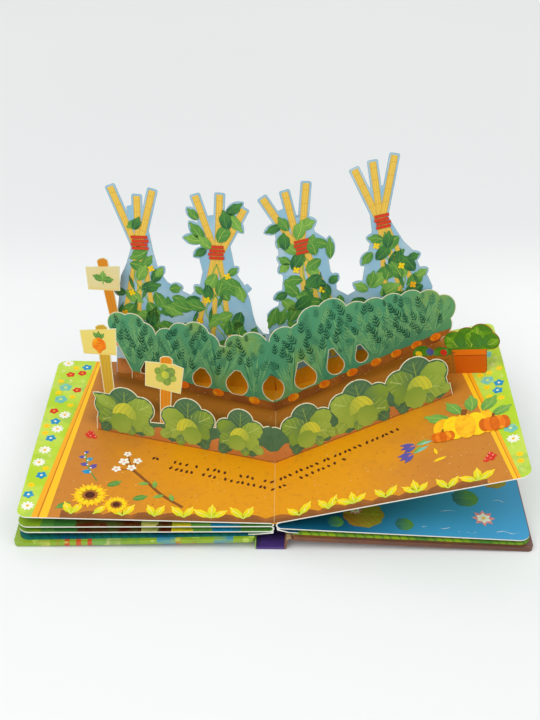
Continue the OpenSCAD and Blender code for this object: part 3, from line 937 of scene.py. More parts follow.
@dataclass
class CaseDress:
    """The two covers, their linings, the spine strip and the wrap at the joints."""

    gloss: float = 0.32
    shine: float = 0.5

    def front(self) -> bpy.types.Material:
        """The front cover's wrap: lime with blocks and stripes of the cover print."""
        tree = Tree("front_wrap", self.gloss, self.shine)
        x = tree.xyz()[0]
        ground = tree.blots(Ink.COVER_LIME, Ink.LEAF, 24.0, 0.7)
        patches = tree.ramp((x + 192.0 + tree.noise(30.0, 1.0) * 6.0) / 184.0, [
            (0.0, Ink.COVER_LIME), (0.06, Ink.CREAM_YELLOW), (0.12, Ink.COVER_LIME), (0.27, Ink.LEAF_LIGHT),
            (0.36, Ink.CREAM), (0.42, Ink.LEAF), (0.5, Ink.COVER_LIME), (0.58, Ink.BLUE), (0.66, Ink.TWINE),
            (0.74, Ink.COVER_LIME), (0.82, Ink.BLUE), (0.9, Ink.COVER_LIME)], True)
        ground = tree.blots(ground, patches, 16.0, 0.9, 0.35, 0.65, 2.0)
        posts = ((x + 190.0) / 9.0).stripes(0.22) * x.within(-166.0, -139.0)
        ground = tree.mix(posts * 0.85, ground, Ink.RED)
        return tree.finish(tree.dots(ground, Ink.LIME_PALE, 11.0, 0.24, 0.5), 0.2)

    def back(self) -> bpy.types.Material:
        """The back cover's wrap: soil brown with a slight grain."""
        tree = Tree("back_wrap", self.gloss, self.shine)
        ground = tree.blots(Ink.COVER_BROWN, Ink.BANK, 20.0, 0.5, 0.4, 0.7, 4.0)
        return tree.finish(tree.dots(ground, Ink.SOIL_DARK, 7.0, 0.12, 0.4), 0.25)

    def joint(self, name: str, ink: Ink, shade: Ink) -> bpy.types.Material:
        """A wrap joint: the cover's colour, rubbed paler along its crown."""
        tree = Tree(name, self.gloss, self.shine)
        rub = (tree.xyz()[2].ease(6.5, 12.0) * tree.noise(8.0, 3.0)).ease(0.2, 0.9)
        return tree.finish(tree.mix(rub * 0.5, tree.mix(tree.noise(14.0), ink, shade), Ink.CREAM), 0.2)

    def spine(self) -> bpy.types.Material:
        """The spine strip: plain purple."""
        tree = Tree("spine_wrap", self.gloss, self.shine)
        return tree.finish(tree.blots(Ink.PURPLE, Ink.VIOLET, 15.0, 0.35, 0.4), 0.2)

    def lining(self, name: str, ink: Ink, shade: Ink, blades: Ink) -> bpy.types.Material:
        """A paste-down: a field of colour with leaning grass strokes."""
        tree = Tree(name)
        x, y, _ = tree.xyz()
        strokes = ((x + y * 0.55) / 7.0 + tree.noise(24.0) * 1.5).stripes(0.14)
        return tree.finish(tree.mix(strokes * 0.6, tree.blots(ink, shade, 30.0), blades))

    def build(self, nodes: Dict[str, bpy.types.Object]) -> None:
        """Dresses the case's solids."""
        finishes = {
            "front_cover": self.front(),
            "back_cover": self.back(),
            "front_joint_wrap": self.joint("front_joint", Ink.COVER_LIME, Ink.LEAF),
            "back_joint_wrap": self.joint("back_joint", Ink.COVER_BROWN, Ink.BANK),
            "spine": self.spine(),
            "front_lining": self.lining("front_paste", Ink.TEAL, Ink.POND_DEEP, Ink.SPRIG),
            "back_lining": self.lining("back_paste", Ink.LIME, Ink.LEAF, Ink.LEAF_DEEP),
        }
        for name, finish in finishes.items():
            Card(nodes[name]).dress(finish)
        LOG.info("case dressed")


@dataclass
class PagesDress:
    """The leaves: the garden ground on the open spread, the pond, and the leaves under it.

    A fence's inner and outer line each run from a place at the front edge to one at the back edge.
    """

    plan: BookPlan
    fences: Tuple[Tuple[Spot, Spot], Tuple[Spot, Spot]] = (
        ((175.5, 161.2), (187.8, 165.7)), ((185.0, 154.4), (190.9, 162.6)))
    feet: Tuple[float, float] = (19.0, 21.0)
    bank_depth: float = 5.0
    scallop: float = 21.0

    def fence(self, side: int, line: int, v: Value) -> Value:
        """How far out the inner (0) or outer (1) line of a page's fence is at v."""
        front, back = self.fences[side > 0][line]
        return v * ((back - front) / self.plan.page_h) + (front + back) / 2

    def _ground(self, tree: Tree, side: int) -> Wire:
        """The print of one page of the open spread."""
        u, v = self.plan.page(side).read(tree)
        near, far = self.fence(side, 0, v), self.fence(side, 1, v)
        across = (u - near) / (far - near)
        brown = (u / 175.0 + tree.noise(45.0, 3.0) * 0.7 - v * 0.0012).ease(0.75, 1.25)
        soil = tree.mix(brown * 0.95, Ink.SOIL, Ink.SOIL_TAN)
        soil = tree.blots(soil, Ink.SOIL_BROWN, 5.0, 0.3, 0.5, 0.8, 4.0)
        # Painted shade, with printed furrows: behind the front row the soil darkens up to the hedge's foot,
        # where the row and the hedge shade it, and fades out towards the outer edge.
        behind = v - u * 0.27 + 35.0
        furrow = abs((behind / 34.0 + tree.noise(40.0) * 0.25).part() - 0.5).ease(0.05, 0.4)
        dark = tree.mix(furrow * 0.6, Ink.SOIL_DARK, Ink.SOIL_BROWN)
        foot = v - u * math.tan(math.radians(self.feet[side > 0]))
        turned = (foot < 39.4).either((u > 100.0) * (foot < 60.0))
        soil = tree.mix(behind.ease(0.0, 16.0) * turned * (1.0 - u.ease(140.0, 172.0)) * 0.85, soil, dark)
        # Painted light: between the hedge and the trellis, near the gutter, the soil turns a brighter orange
        # where the cards shade it.
        painted_light = (foot > 39.4) * (v - u * 0.167 < 70.0) * (1.0 - u.ease(80.0, 108.0))
        soil = tree.mix(painted_light, soil, Ink.SOIL_GLOW)
        soil = tree.dots(soil, Ink.CREAM, 6.5, 0.07, 0.7)
        soil = tree.dots(soil, Ink.SOIL_DARK, 10.0, 0.06, 0.7)
        scallops = abs((u / self.scallop * math.pi + side).sine()) * 4.0
        edge = self.bank_depth - self.plan.page_h / 2
        rim = v < scallops * 0.8 + (edge - 3.4)
        earth = tree.mix(rim * 0.35, tree.blots(Ink.BANK, Ink.SOIL_BROWN, 11.0, 0.6), Ink.SOIL_DARK)
        soil = tree.mix((v < scallops + edge) * (u < 166.0), soil, earth)
        meadow = tree.blots(Ink.LIME, Ink.LIME_PALE, 26.0, 0.6)
        meadow = tree.blots(meadow, Ink.LEAF_LIGHT, 19.0, 0.4, 0.5, 0.7, 2.0)
        rails = tree.mix(across.within(0.52, 0.62), Ink.FENCE, Ink.FENCE_DARK)
        rails = tree.mix((across > 0.62) * 0.35, rails, Ink.ORANGE)
        return tree.mix(across > 1.0, tree.mix(across > 0.0, soil, rails), meadow)

    def build(self, nodes: Dict[str, bpy.types.Object]) -> None:
        """Dresses the whole block of leaves with one finish."""
        tree = Tree("page_print", 0.46, 0.22)
        x, _, z = tree.xyz()
        gutter = self.plan.gutter_x
        up, down = (tree.looks(Vector((0, 0, way))) > 0.5 for way in (1, -1))
        out = (abs(x - gutter) - 8.0) / 190.0
        under = tree.ramp(out + tree.noise(18.0) * 0.05, [
            (0.0, Ink.LEAF), (0.12, Ink.BLUE), (0.24, Ink.LEAF_LIGHT), (0.32, Ink.YELLOW),
            (0.4, Ink.SOIL_RED), (0.46, Ink.CREAM_YELLOW), (0.52, Ink.SOIL_RED), (0.8, Ink.LEAF_DEEP),
            (0.88, Ink.LEAF), (0.94, Ink.COVER_LIME)], True)
        under = tree.blots(under, Ink.LEAF_DEEP, 13.0, 0.5, 0.4)
        # Painted shade: the pond darkens towards the gutter, where the page above it shades it.
        pond = tree.ramp(out + (tree.noise(60.0) - 0.5) * 0.12,
                         [(0.0, Ink.POND_DEEP), (0.16, Ink.POND_DEEP), (0.66, Ink.POND), (1.0, Ink.POND)])
        colour = tree.mix(up.either(down), Ink.CARD_EDGE, tree.mix(x > gutter, under, pond))
        colour = tree.mix(down, colour, Ink.LEAF_LIGHT)
        off = abs(x - gutter)
        high = z > self.plan.gutter_z - 0.9
        colour = tree.mix((off < 2.2) * high * (1.0 - down), colour, Ink.SOIL)
        for side, here in ((-1, x < gutter), (1, x > gutter)):
            page = self.plan.page(side)
            top = (page.level(tree, page.out) > -0.4) * here * (tree.looks(page.out) > 0.9)
            colour = tree.mix(top, colour, self._ground(tree, side))
        Card(nodes["pages"]).dress(tree.finish(tree.mix((off < 0.35) * high * 0.3, colour, Ink.CREAM)))
        LOG.info("pages dressed")


@dataclass(frozen=True)
class Bloom:
    """One kind of meadow flower: its reach, its share of the draws, its size and its petals."""

    radius: float
    share: int
    size: float
    petals: int
    petal: Tint
    eye: Tint
    wide: float

    def lay(self, run: PrintRun, u: float, v: float, turn: float) -> None:
        """Lays the flower about its middle: petals in a ring and an eye."""
        run.ring(Cut.PETAL, self.petal, u, v, self.petals, turn, self.size / 2, self.wide, 0, 2)
        run.spot(Cut.DISC, self.eye, u, v, self.size * 0.24, 2)


@dataclass(frozen=True)
class Tuft:
    """A pale sprig among the meadow's flowers."""

    radius: float
    share: int

    def lay(self, run: PrintRun, u: float, v: float, turn: float) -> None:
        """Lays the sprig about its middle."""
        run.lay(Cut.SPRIG, Tint.PALE, u, v - 3.2, 70 + turn * 0.4, 6.6, 6.6)


@dataclass
class BorderFlowers:
    """The meadow along each page's outer edge: daisies, small blooms and pale sprigs."""

    plan: BookPlan
    pages: PagesDress
    gap: float = 0.8
    corner: float = 9.0
    tries: int = 2600
    kinds: Tuple[Union[Bloom, Tuft], ...] = (
        Bloom(5.4, 40, 10.8, 9, Tint.WHITE, Tint.GOLD, 2.5),
        Bloom(4.7, 13, 9.2, 5, Tint.BLUE, Tint.WHITE, 3.8),
        Bloom(4.2, 13, 8.2, 5, Tint.RED, Tint.GOLD, 3.6),
        Bloom(3.4, 8, 6.6, 6, Tint.YELLOW, Tint.GOLD, 2.0),
        Bloom(5.4, 18, 11.6, 5, Tint.TURQUOISE, Tint.PALE, 5.6), Tuft(3.6, 10))

    def build(self, side: int, name: str) -> None:
        """Scatters the flowers of one page's meadow, none of them over another."""
        run = PrintRun(name, self.plan.page(side))
        draw = random.Random(11 + side)
        kept: List[Tuple[float, float, float]] = []
        half, wide = self.plan.page_h / 2, self.plan.page_w
        for _ in range(self.tries):
            v = draw.uniform(-half + 4, half - 4)
            kind = draw.choices(self.kinds, [kind.share for kind in self.kinds])[0]
            radius = kind.radius
            low, high = self.pages.fence(side, 1, v) + radius + self.gap, wide - radius - self.gap
            u = draw.uniform(low, high) if high > low else -1.0
            past = (u - wide + self.corner, abs(v) - half + self.corner)
            if u < 0 or min(past) > 0 and math.hypot(*past) + radius > self.corner - 0.5:
                continue
            if any(math.hypot(u - a, v - b) < radius + r + self.gap for a, b, r in kept):
                continue
            kept.append((u, v, radius))
            kind.lay(run, u, v, draw.uniform(0, 90))
        run.done("page_card")


@dataclass
class GroundPrint:
    """What is printed on the ground of the open spread, in front of the standing cards."""

    plan: BookPlan
    seed_pitch: float = 4.8
    seed_gaps: float = 0.14

    def _seeds(self, run: PrintRun, draw: random.Random, start: Spot, end: Spot) -> None:
        """A row of sown seeds."""
        length = math.dist(start, end)
        way = heading(start, end)
        for step in range(int(length / self.seed_pitch)):
            share = step * self.seed_pitch / length
            if draw.random() < self.seed_gaps:
                continue
            u = start[0] + (end[0] - start[0]) * share
            v = start[1] + (end[1] - start[1]) * share + draw.uniform(-0.4, 0.4)
            turn = way + draw.choice((70, 90, 110)) + draw.uniform(-14, 14)
            run.lay(Cut.LEAF, Tint.SEED, u, v - 1.4, turn, draw.uniform(4.0, 4.9), 2.2)

    def _sprouts(self, run: PrintRun, draw: random.Random, u: float, turns: Sequence[float]) -> None:
        """Yellow seed leaves that rise from one place in the front bank."""
        foot = 3.2 - self.plan.page_h / 2 + draw.uniform(0, 3.0)
        for turn in turns:
            length = draw.uniform(14.0, 18.0)
            run.lay(Cut.BLADE, Tint.SPROUT, u, foot, turn + draw.uniform(-9, 9), length, length * 0.4, 1)

    def _sunflower(self, run: PrintRun, u: float, v: float, size: float) -> None:
        """A sunflower seen from above: two rings of petals round a seed head."""
        run.ring(Cut.BLADE, Tint.GOLD, u, v, 12, 0, size / 2, size * 0.17, 3)
        run.ring(Cut.BLADE, Tint.YELLOW, u, v, 12, 15, size / 2 * 0.86, size * 0.17, 4)
        run.spot(Cut.DISC, Tint.BROWN, u, v, size * 0.4, 5)
        run.spot(Cut.DISC, Tint.SEED, u, v, size * 0.26, 6)

    def _bellflowers(self, run: PrintRun, foot: Spot, top: Spot) -> None:
        """A stalk of blue bells between two places."""
        rise, run_out = top[1] - foot[1], top[0] - foot[0]
        run.ribbon(Tint.LEAF, (foot, ((foot[0] + top[0]) / 2 + 2.5, (foot[1] + top[1]) / 2), top), 1.1, 0)
        way = heading(foot, top)
        for step in range(6):
            share = 0.3 + step * 0.13
            place = (foot[0] + run_out * share + 1.6, foot[1] + rise * share)
            turn = way + (62 if step % 2 else -62)
            tint = Tint.VIOLET if step % 3 else Tint.BLUE
            run.lay(Cut.LEAF, tint, *place, turn, 8.2 - step * 0.6, 5.4 - step * 0.4, 1)
            run.lay(Cut.DISC, Tint.WHITE, *place, turn, 1.6, 1.6, 2)

    def _branch(self, run: PrintRun) -> None:
        """A long brown twig with white blossom at its end."""
        run.ribbon(Tint.BARK, ((72, -94), (90, -79), (104, -62), (117, -47)), 2.6)
        for u, v, turn in ((80, -87, 70), (88, -80, -20), (96, -71, 88), (101, -66, 0)):
            run.lay(Cut.LEAF, Tint.LEAF_LIGHT, u, v, turn, 9, 4, 1)
        for u, v, size in ((117, -46, 8.4), (124, -38, 9.4), (113, -37, 8.0), (129, -48, 8.0),
                           (122, -28, 7.0)):
            run.ribbon(Tint.BARK, ((116, -48), ((116 + u) / 2, (v - 48) / 2 - 0.5), (u, v)), 0.9)
            run.ring(Cut.PETAL, Tint.WHITE, u, v, 5, u, size / 2, size * 0.36, 1, 2)
            run.spot(Cut.DISC, Tint.PINK, u, v, 1.8, 3)

    def _pumpkin(self, run: PrintRun, u: float, v: float, wide: float, high: float, tints: Tuple[Tint, Tint],
                 base: int) -> None:
        """A ribbed pumpkin: overlapping lobes, outer ones first, and a stalk.

        Args:
            run: the print run that it joins.
            u: its middle along the page.
            v: its middle up the page.
            wide: its width.
            high: its height.
            tints: its outer lobes' finish, and the ones' between them.
            base: its lowest layer.
        """
        for step, (offset, width) in enumerate(((0.34, 0.36), (0.18, 0.36), (0.0, 0.34))):
            tall = high * (1.0 - offset * 0.4)
            for side in ((-1, 1) if offset else (1,)):
                run.lay(Cut.DISC, tints[step % 2], u + side * offset * wide, v - tall / 2, 90, tall,
                        wide * width, base + step)
        run.lay(Cut.BAR, Tint.BARK, u, v + high * 0.42, 78, high * 0.24, wide * 0.09, base + 3)

    def _berries(self, run: PrintRun, u: float, v: float) -> None:
        """A bunch of red berries."""
        for step, (a, b) in enumerate(((0, 0), (4.4, 0.8), (2.2, 3.8), (6.4, 3.9), (4.2, 7.0))):
            run.lay(Cut.DISC, Tint.RED, u + a, v + b, 0, 4.6, 4.6, 1 + step % 2)
            run.lay(Cut.DISC, Tint.PINK, u + a + 1.1, v + b + 0.9, 0, 1.2, 1.2, 3)

    def _crocus(self, run: PrintRun, u: float, v: float, way: float) -> None:
        """A crocus lying on the soil, its blue-green leaves behind it."""
        run.lay(Cut.BLADE, Tint.TURQUOISE, u, v, way + 176, 15, 3.2, 0)
        run.lay(Cut.BLADE, Tint.LEAF_LIGHT, u, v, way + 196, 12, 2.6, 1)
        for layer, turn in enumerate((-26, 26, 0)):
            run.lay(Cut.LEAF, Tint.VIOLET, u, v, way + turn, 12.5, 5.0, 2 + layer)
        run.lay(Cut.BLADE, Tint.ORANGE, u + 1, v, way, 6.0, 1.4, 5)

    def _left(self) -> None:
        """Blossom, bellflowers, sunflowers and berries on the left page."""
        run = PrintRun("left_plants", self.plan.page(-1))
        self._branch(run)
        self._bellflowers(run, (143, -64), (157, -27))
        self._sunflower(run, 146, -82, 31)
        self._sunflower(run, 124, -93, 22)
        for u, v, turn in ((134, -70, 150), (160, -92, -30), (112, -86, 158)):
            run.lay(Cut.LEAF, Tint.LEAF, u, v, turn, 13, 6.5, 0)
        self._berries(run, 150, -6)
        run.done("page_card")

    def _right(self) -> None:
        """Pumpkins, crocuses, berries and yellow blades on the right page."""
        run = PrintRun("right_plants", self.plan.page(1))
        for step, (u, v, turn, length) in enumerate((
                (147, -24, 150, 24), (156, -17, 118, 21), (165, -16, 84, 22), (174, -18, 52, 22),
                (181, -26, 28, 19))):
            run.lay(Cut.LEAF, Tint.LEAF_LIGHT, u, v, turn, length, length * 0.5, 3 + step % 2)
        self._pumpkin(run, 158, -34, 50, 33, (Tint.GOLD, Tint.YELLOW), 5)
        self._pumpkin(run, 181, -38, 24, 20, (Tint.ORANGE_DEEP, Tint.ORANGE), 9)
        self._pumpkin(run, 139, -43, 18, 14, (Tint.ORANGE_DEEP, Tint.ORANGE), 9)
        self._crocus(run, 116, -47, -168)
        self._crocus(run, 113, -57, -150)
        self._berries(run, 166, -82)
        for layer, (u, v, turn) in enumerate(((128, -72, 24), (139, -68, 200), (132, -64, 100))):
            run.lay(Cut.BLADE, Tint.YELLOW, u, v, turn, 9, 2.6, layer)
        run.done("page_card")

    def build(self) -> None:
        """Lays the ground prints of both pages."""
        left, right = self.plan.page(-1), self.plan.page(1)
        rows, draw = PrintRun("seed_rows", left), random.Random(5)
        for page, start, end in ((left, (4.0, -60.0), (108.0, -31.0)), (left, (3.0, -69.0), (92.0, -44.0)),
                                 (right, (5.0, -58.0), (112.0, -19.0)), (right, (5.0, -67.5), (66.0, -45.0))):
            rows.plane = page
            self._seeds(rows, draw, start, end)
        rows.done("page_card")
        bank, draw = PrintRun("bank_sprouts", left), random.Random(8)
        fans = {1: (128,), 2: (58, 124), 3: (40, 92, 142)}
        for page, places in (
                (left, ((24, 2), (49, 3), (70, 2), (93, 2), (118, 2), (141, 1), (158, 2))),
                (right, ((20, 2), (43, 2), (63, 3), (88, 2), (112, 3), (136, 2), (159, 3)))):
            bank.plane = page
            for u, count in places:
                self._sprouts(bank, draw, u, fans[count])
        bank.done("page_card")
        self._left()
        self._right()


@dataclass
class PondPrint:
    """Lily pads, a lily and ripples on the pond page."""

    plan: BookPlan
    drop: float = 5.0
    outer_z: float = 8.6
    inner_x: float = 7.0

    def plane(self) -> Plane:
        """The pond page's top face."""
        inner_z = self.plan.gutter_z - self.drop
        slope = math.asin((inner_z - self.outer_z) / self.plan.page_w)
        along = Vector((math.cos(slope), 0.0, -math.sin(slope)))
        out = Vector((math.sin(slope), 0.0, math.cos(slope)))
        return Plane(Vector((self.inner_x, 0.0, inner_z)) * MM, along, Vector((0.0, 1.0, 0.0)), out)

    def build(self) -> None:
        """Lays the pond's prints."""
        run = PrintRun("pond_plants", self.plane())
        for u, v, size, tint in ((66, -88, 34, Tint.PAD), (98, -98, 15, Tint.PAD_GREEN),
                                 (150, -62, 22, Tint.PAD_GREEN), (44, -99, 13, Tint.PAD_GREEN),
                                 (176, -36, 24, Tint.PAD), (120, -20, 30, Tint.PAD_GREEN)):
            run.spot(Cut.ROUND, tint, u, v, size)
        for u, v, size in ((162, -86, 19), (60, -84, 12)):
            run.ring(Cut.BLADE, Tint.PINK, u, v, 8, 0, size / 2, size * 0.2, 1)
            run.ring(Cut.BLADE, Tint.WHITE, u, v, 6, 30, size / 2 * 0.66, size * 0.2, 2)
            run.spot(Cut.DISC, Tint.GOLD, u, v, 2.8, 3)
        for u, v, wide in ((112, -100, 22), (128, -80, 26), (170, -102, 18), (140, -104, 14), (172, -64, 14)):
            run.ribbon(Tint.RIPPLE, ((u, v), (u + wide * 0.35, v + 1.5), (u + wide * 0.7, v - 1.0),
                                     (u + wide, v + 0.8)), 0.6)
        run.done("page_card")


@dataclass
class StandingCard:
    """A V-folded card: where its fold meets the gutter, how its two wings turn and lean, its bare rim."""

    plan: BookPlan
    y: float = 0.0
    turns: Tuple[float, float] = (0.0, 0.0)
    lean: float = 0.0
    rim: float = 0.65

    def wing(self, side: int, back: float = 0.0) -> Plane:
        """The printed face of one wing."""
        return self.plan.wing(side, self.y, self.turns[side > 0], self.lean, back)

    def card_finish(self, name: str, back: Ink, edge: Ink, fold: Ink, earth: Ink,
                    low: float) -> bpy.types.Material:
        """The bare card round the print: pale rims and cut edges, a tinted back, painted glue tabs.

        Args:
            name: the material's name.
            back: the tint of the unprinted side.
            edge: the rims and cut edges.
            fold: the print's colour along the fold.
            earth: the print's colour at the foot of the fold.
            low: how high the earth reaches there, in millimetres.

        Returns:
            The material.
        """
        tree = Tree(name)
        colour = tree.blots(edge, Ink.CARD_EDGE, 3.0, 0.25, 0.5, 0.8)
        for side in (-1, 1):
            behind = tree.looks(self.wing(side).out) < -SAME_WAY
            colour = tree.mix(behind, colour, tree.mix(tree.noise(20.0) * 0.4, back, Ink.CARD_EDGE))
            tab = tree.looks(self.plan.page(side).out) > SAME_WAY
            colour = tree.mix(tab, colour, Ink.SOIL_BROWN)
        left = self.wing(-1)
        return tree.finish(tree.mix(left.seam(tree), colour, tree.mix(left.read(tree)[1] > low, earth, fold)))

    def ground(self, tree: Tree, u: Wire, v: Wire) -> Wire:
        """The print's ground colour at a place on a wing."""
        raise NotImplementedError

    def sheets(self, name: str, slot: str, card: Card, ground: str) -> None:
        """Lays the printed sheet on both wings.

        Args:
            name: the piece's name.
            slot: its material slot.
            card: the card that it lies on.
            ground: its material's name.
        """
        tree = Tree(ground)
        left, right = self.wing(-1), self.wing(1)
        colour = self.ground(tree, *left.read(tree))
        beyond = tree.along(Vector((1, 0, 0))) > self.plan.gutter_x
        finish = tree.finish(tree.mix(beyond, colour, self.ground(tree, *right.read(tree))))
        run = PrintRun(name, left, card)
        run.parts = [card.sheet(wing, finish, self.rim) for wing in (left, right)]
        run.done(slot)


@dataclass
class FrontRow(StandingCard):
    """The row of leafy heads on a band of soil. Each head has its middle along the wing, width and height."""

    y: float = -35.0
    turns: Tuple[float, float] = (15.0, 17.0)
    lean: float = 6.0
    soil: float = 12.0
    heads: Tuple[Tuple[Tuple[float, float, float], ...], ...] = (
        ((132, 54, 46), (76, 48, 47), (31, 42, 46)), ((35, 46, 44), (82, 54, 47), (133, 56, 48)))

    def ground(self, tree: Tree, u: Wire, v: Wire) -> Wire:
        """Deep green leaf shadow above a band of speckled soil."""
        edge = v + (u * 0.36).sine() * 1.8 + (tree.noise(12.0) - 0.5) * 3.0
        soil = tree.blots(Ink.ROW_SOIL, Ink.SOIL_BROWN, 16.0, 0.5, detail=4.0)
        soil = tree.dots(soil, Ink.CREAM, 4.5, 0.10, 0.6)
        soil = tree.dots(soil, Ink.SOIL_DARK, 7.0, 0.09, 0.6)
        # Painted shade: the soil darkens over its lowest 1.8 mm, where the card stands on the page.
        soil = tree.mix((1.0 - v / 1.8).ease(0.0, 0.9) * 0.6, soil, Ink.SOIL_DARK)
        return tree.mix(edge > self.soil, soil, tree.blots(Ink.HEAD_DEEP, Ink.HEAD_SHADE, 10.0, 0.6, 0.4))

    def _head(self, run: PrintRun, u: float, wide: float, high: float, flip: int) -> None:
        """One leafy head: a leaf on each lobe of the card, a heart and a folded front leaf.

        Args:
            run: the print run that it joins.
            u: its middle along the wing.
            wide: its width.
            high: its height.
            flip: -1 to turn it the other way round.
        """
        veined, plain = (Tint.HEAD, Tint.HEAD_LIGHT), (Tint.HEAD_PLAIN, Tint.HEAD_SOFT)
        lobes = ((0.0, high - 0.27 * wide, 0.27, Tint.HEAD_DEEP),
                 (-0.27 * wide, 0.6 * high, 0.23, veined[flip > 0]),
                 (0.28 * wide, 0.56 * high, 0.22, plain[flip > 0]),
                 (-0.2 * wide, 0.34 * high, 0.24, plain[flip < 0]),
                 (0.2 * wide, 0.32 * high, 0.25, veined[flip < 0]))
        for layer, (a, b, share, tint) in enumerate(lobes):
            radius = share * wide - 1.2
            way = math.atan2(b - 0.4 * high, a)
            spot = (u + a - math.cos(way) * (radius + 2.4), b - math.sin(way) * (radius + 2.4))
            run.lay(Cut.ROUND, tint, *spot, math.degrees(way), 2 * radius + 2.4, 2 * radius, layer)
        for a, b, turn, size, tint in ((-0.36, 0.2, 212, 0.24, Tint.HEAD_LIGHT),
                                       (0.3, 0.14, -52, 0.26, Tint.HEAD_DEEP),
                                       (-0.1, 0.16, 250, 0.22, Tint.HEAD)):
            turn = turn if flip > 0 else 180 - turn
            run.fit(Cut.ROUND, tint, u + flip * a * wide * 0.8, b * high + 3, turn, wide * size,
                    wide * size * 0.9, 5, 0.4)
        for side in (-1, 1):
            run.fit(Cut.ROUND, Tint.HEAD_DEEP, u + side * wide * 0.12, 11.0, 90 - side * 98,
                    wide * 0.31, 17.0, 0, 0.5)
        run.lay(Cut.DOME, Tint.HEART, u - wide * 0.2, 0.36 * high, 8 * flip, wide * 0.4, wide * 0.5, 6)
        run.lay(Cut.ROUND, Tint.HEAD_PLAIN, u + flip * wide * 0.14, 0.44 * high, -96 - flip * 22, wide * 0.38,
                wide * 0.36, 7)

    def build(self, nodes: Dict[str, bpy.types.Object]) -> None:
        """Dresses the card and prints its heads."""
        finish = self.card_finish("row_card", Ink.HEAD_LIGHT, Ink.RIM, Ink.HEAD_DEEP, Ink.ROW_SOIL, 11.0)
        card = Card(nodes["front_row_card"]).dress(finish)
        self.sheets("row_print", "front_row_print", card, "row_ground")
        run = PrintRun("row_heads", self.wing(-1), card)
        flip = 1
        for side, row in zip((-1, 1), self.heads):
            run.plane = self.wing(side)
            for u, wide, high in row:
                self._head(run, u, wide, high, flip)
                flip = -flip
            run.fit(Cut.ROUND, Tint.HEAD_LIGHT, 3.5, 17, 84, 15, 13, 0, 0.9)
        run.plane = self.wing(-1)
        run.lay(Cut.LEAF, Tint.HEAD_LIGHT, 138, 25.0, 26, 23, 11.0, 5)
        run.done("front_row_print")


@dataclass
class Hedge(StandingCard):
    """The hedge of feathery tops on narrow stems, with orange roots showing in the soil."""

    y: float = 38.9
    turns: Tuple[float, float] = (19.0, 21.0)
    lean: float = 8.0
    stems: Tuple[Tuple[float, ...], Tuple[float, ...]] = (
        (20.0, 54.0, 87.0, 114.0, 133.0), (18.5, 48.5, 75.5, 99.0, 119.0, 139.0, 158.0))
    blades: int = 34
    blade_turn: float = 3.3
    sprigs: Tuple[int, int] = (8, 18)
    sprig_pitch: Tuple[float, float] = (7.6, 10.4)

    def ground(self, tree: Tree, u: Wire, v: Wire) -> Wire:
        """Green washes that rise from the stems above a band of soil."""
        wash = tree.noise(22.0, 3.0, Vector((1.5, 1.5, 0.6)))
        green = tree.mix(wash.ease(0.35, 0.65) * 0.7, Ink.HEDGE, Ink.HEDGE_BLUE)
        green = tree.blots(green, Ink.HEDGE_YELLOW, 42.0, 0.75, 0.5, 0.66, 1.0)
        green = tree.mix((1.0 - v / 30.0).ease(0.0, 1.0) * 0.45, green, Ink.HEDGE_DEEP)
        soil = tree.dots(tree.blots(Ink.BANK, Ink.SOIL_BROWN, 14.0), Ink.CREAM, 5.0, 0.09, 0.6)
        return tree.mix(v + tree.noise(9.0) * 3.0 > 9.6, soil, green)

    def _fronds(self, run: PrintRun, draw: random.Random, stem: float, layer: int) -> None:
        """The fine blades that rise from one stem."""
        tints = (Tint.FROND, Tint.FROND_LIGHT, Tint.FROND_DEEP, Tint.FROND_LIGHT)
        foot = 8.0 if stem < 110 else 10.0
        for count in range(self.blades):
            turn = 36 + count * self.blade_turn + draw.uniform(-2, 2)
            start = draw.uniform(0.0, 26.0)
            c, s = toward(turn)
            run.fit(Cut.BLADE, tints[count % 4], stem + c * start, foot + s * start, turn,
                    draw.uniform(14, 34), draw.uniform(1.2, 2.0), layer + count % 2, 0.9, 0.3)

    def _root(self, run: PrintRun, stem: float) -> None:
        """The orange shoulder of a root that shows above the soil."""
        wide, high, low = 10.5, 7.2, 2.2
        if not run.fits(stem, low, 90, high, wide, 0.0):
            return
        run.lay(Cut.DISC, Tint.ORANGE, stem, low, 90, high, wide, 6)
        for step in (-1, 0, 1):
            run.lay(Cut.BAR, Tint.ORANGE_DEEP, stem - wide * 0.3, low + high * 0.5 + step * 1.7, 4 * step,
                    wide * 0.42, 0.4, 7)

    def _sprigs(self, run: PrintRun, draw: random.Random) -> None:
        """Dark and light sprigs all over the hedge's face."""
        tints = (Tint.SPRIG, Tint.FROND_DEEP, Tint.FROND_LIGHT)
        rise, pitch = self.sprig_pitch
        for row in range(self.sprigs[0]):
            for column in range(self.sprigs[1]):
                u = (column + (row % 2) / 2) * pitch + draw.uniform(-1.6, 1.6)
                v = 14 + row * rise + draw.uniform(-1.4, 1.4)
                turn = 90 + draw.uniform(-30, 30)
                length = draw.uniform(10.5, 14.0)
                tint = draw.choices(tints, (6, 2, 2))[0]
                run.fit(Cut.SPRIG, tint, u, v, turn, length, length * 0.95, 4 + row % 2, 0.6, 0.5)

    def build(self, nodes: Dict[str, bpy.types.Object]) -> None:
        """Dresses the card and prints its fronds and roots."""
        finish = self.card_finish("hedge_back", Ink.HEDGE_LIGHT, Ink.RIM, Ink.HEDGE, Ink.BANK, 9.0)
        card = Card(nodes["hedge_card"]).dress(finish)
        self.sheets("hedge_print", "hedge_print", card, "hedge_ground")
        fronds = PrintRun("hedge_fronds", self.wing(-1), card)
        roots = PrintRun("hedge_roots", self.wing(-1), card)
        draw = random.Random(21)
        for side, stems in zip((-1, 1), self.stems):
            fronds.plane = roots.plane = self.wing(side)
            for index, stem in enumerate(stems):
                self._fronds(fronds, draw, stem, (index % 2) * 2)
                self._root(roots, stem)
            self._sprigs(fronds, draw)
        fronds.done("hedge_print")
        roots.done("hedge_print")


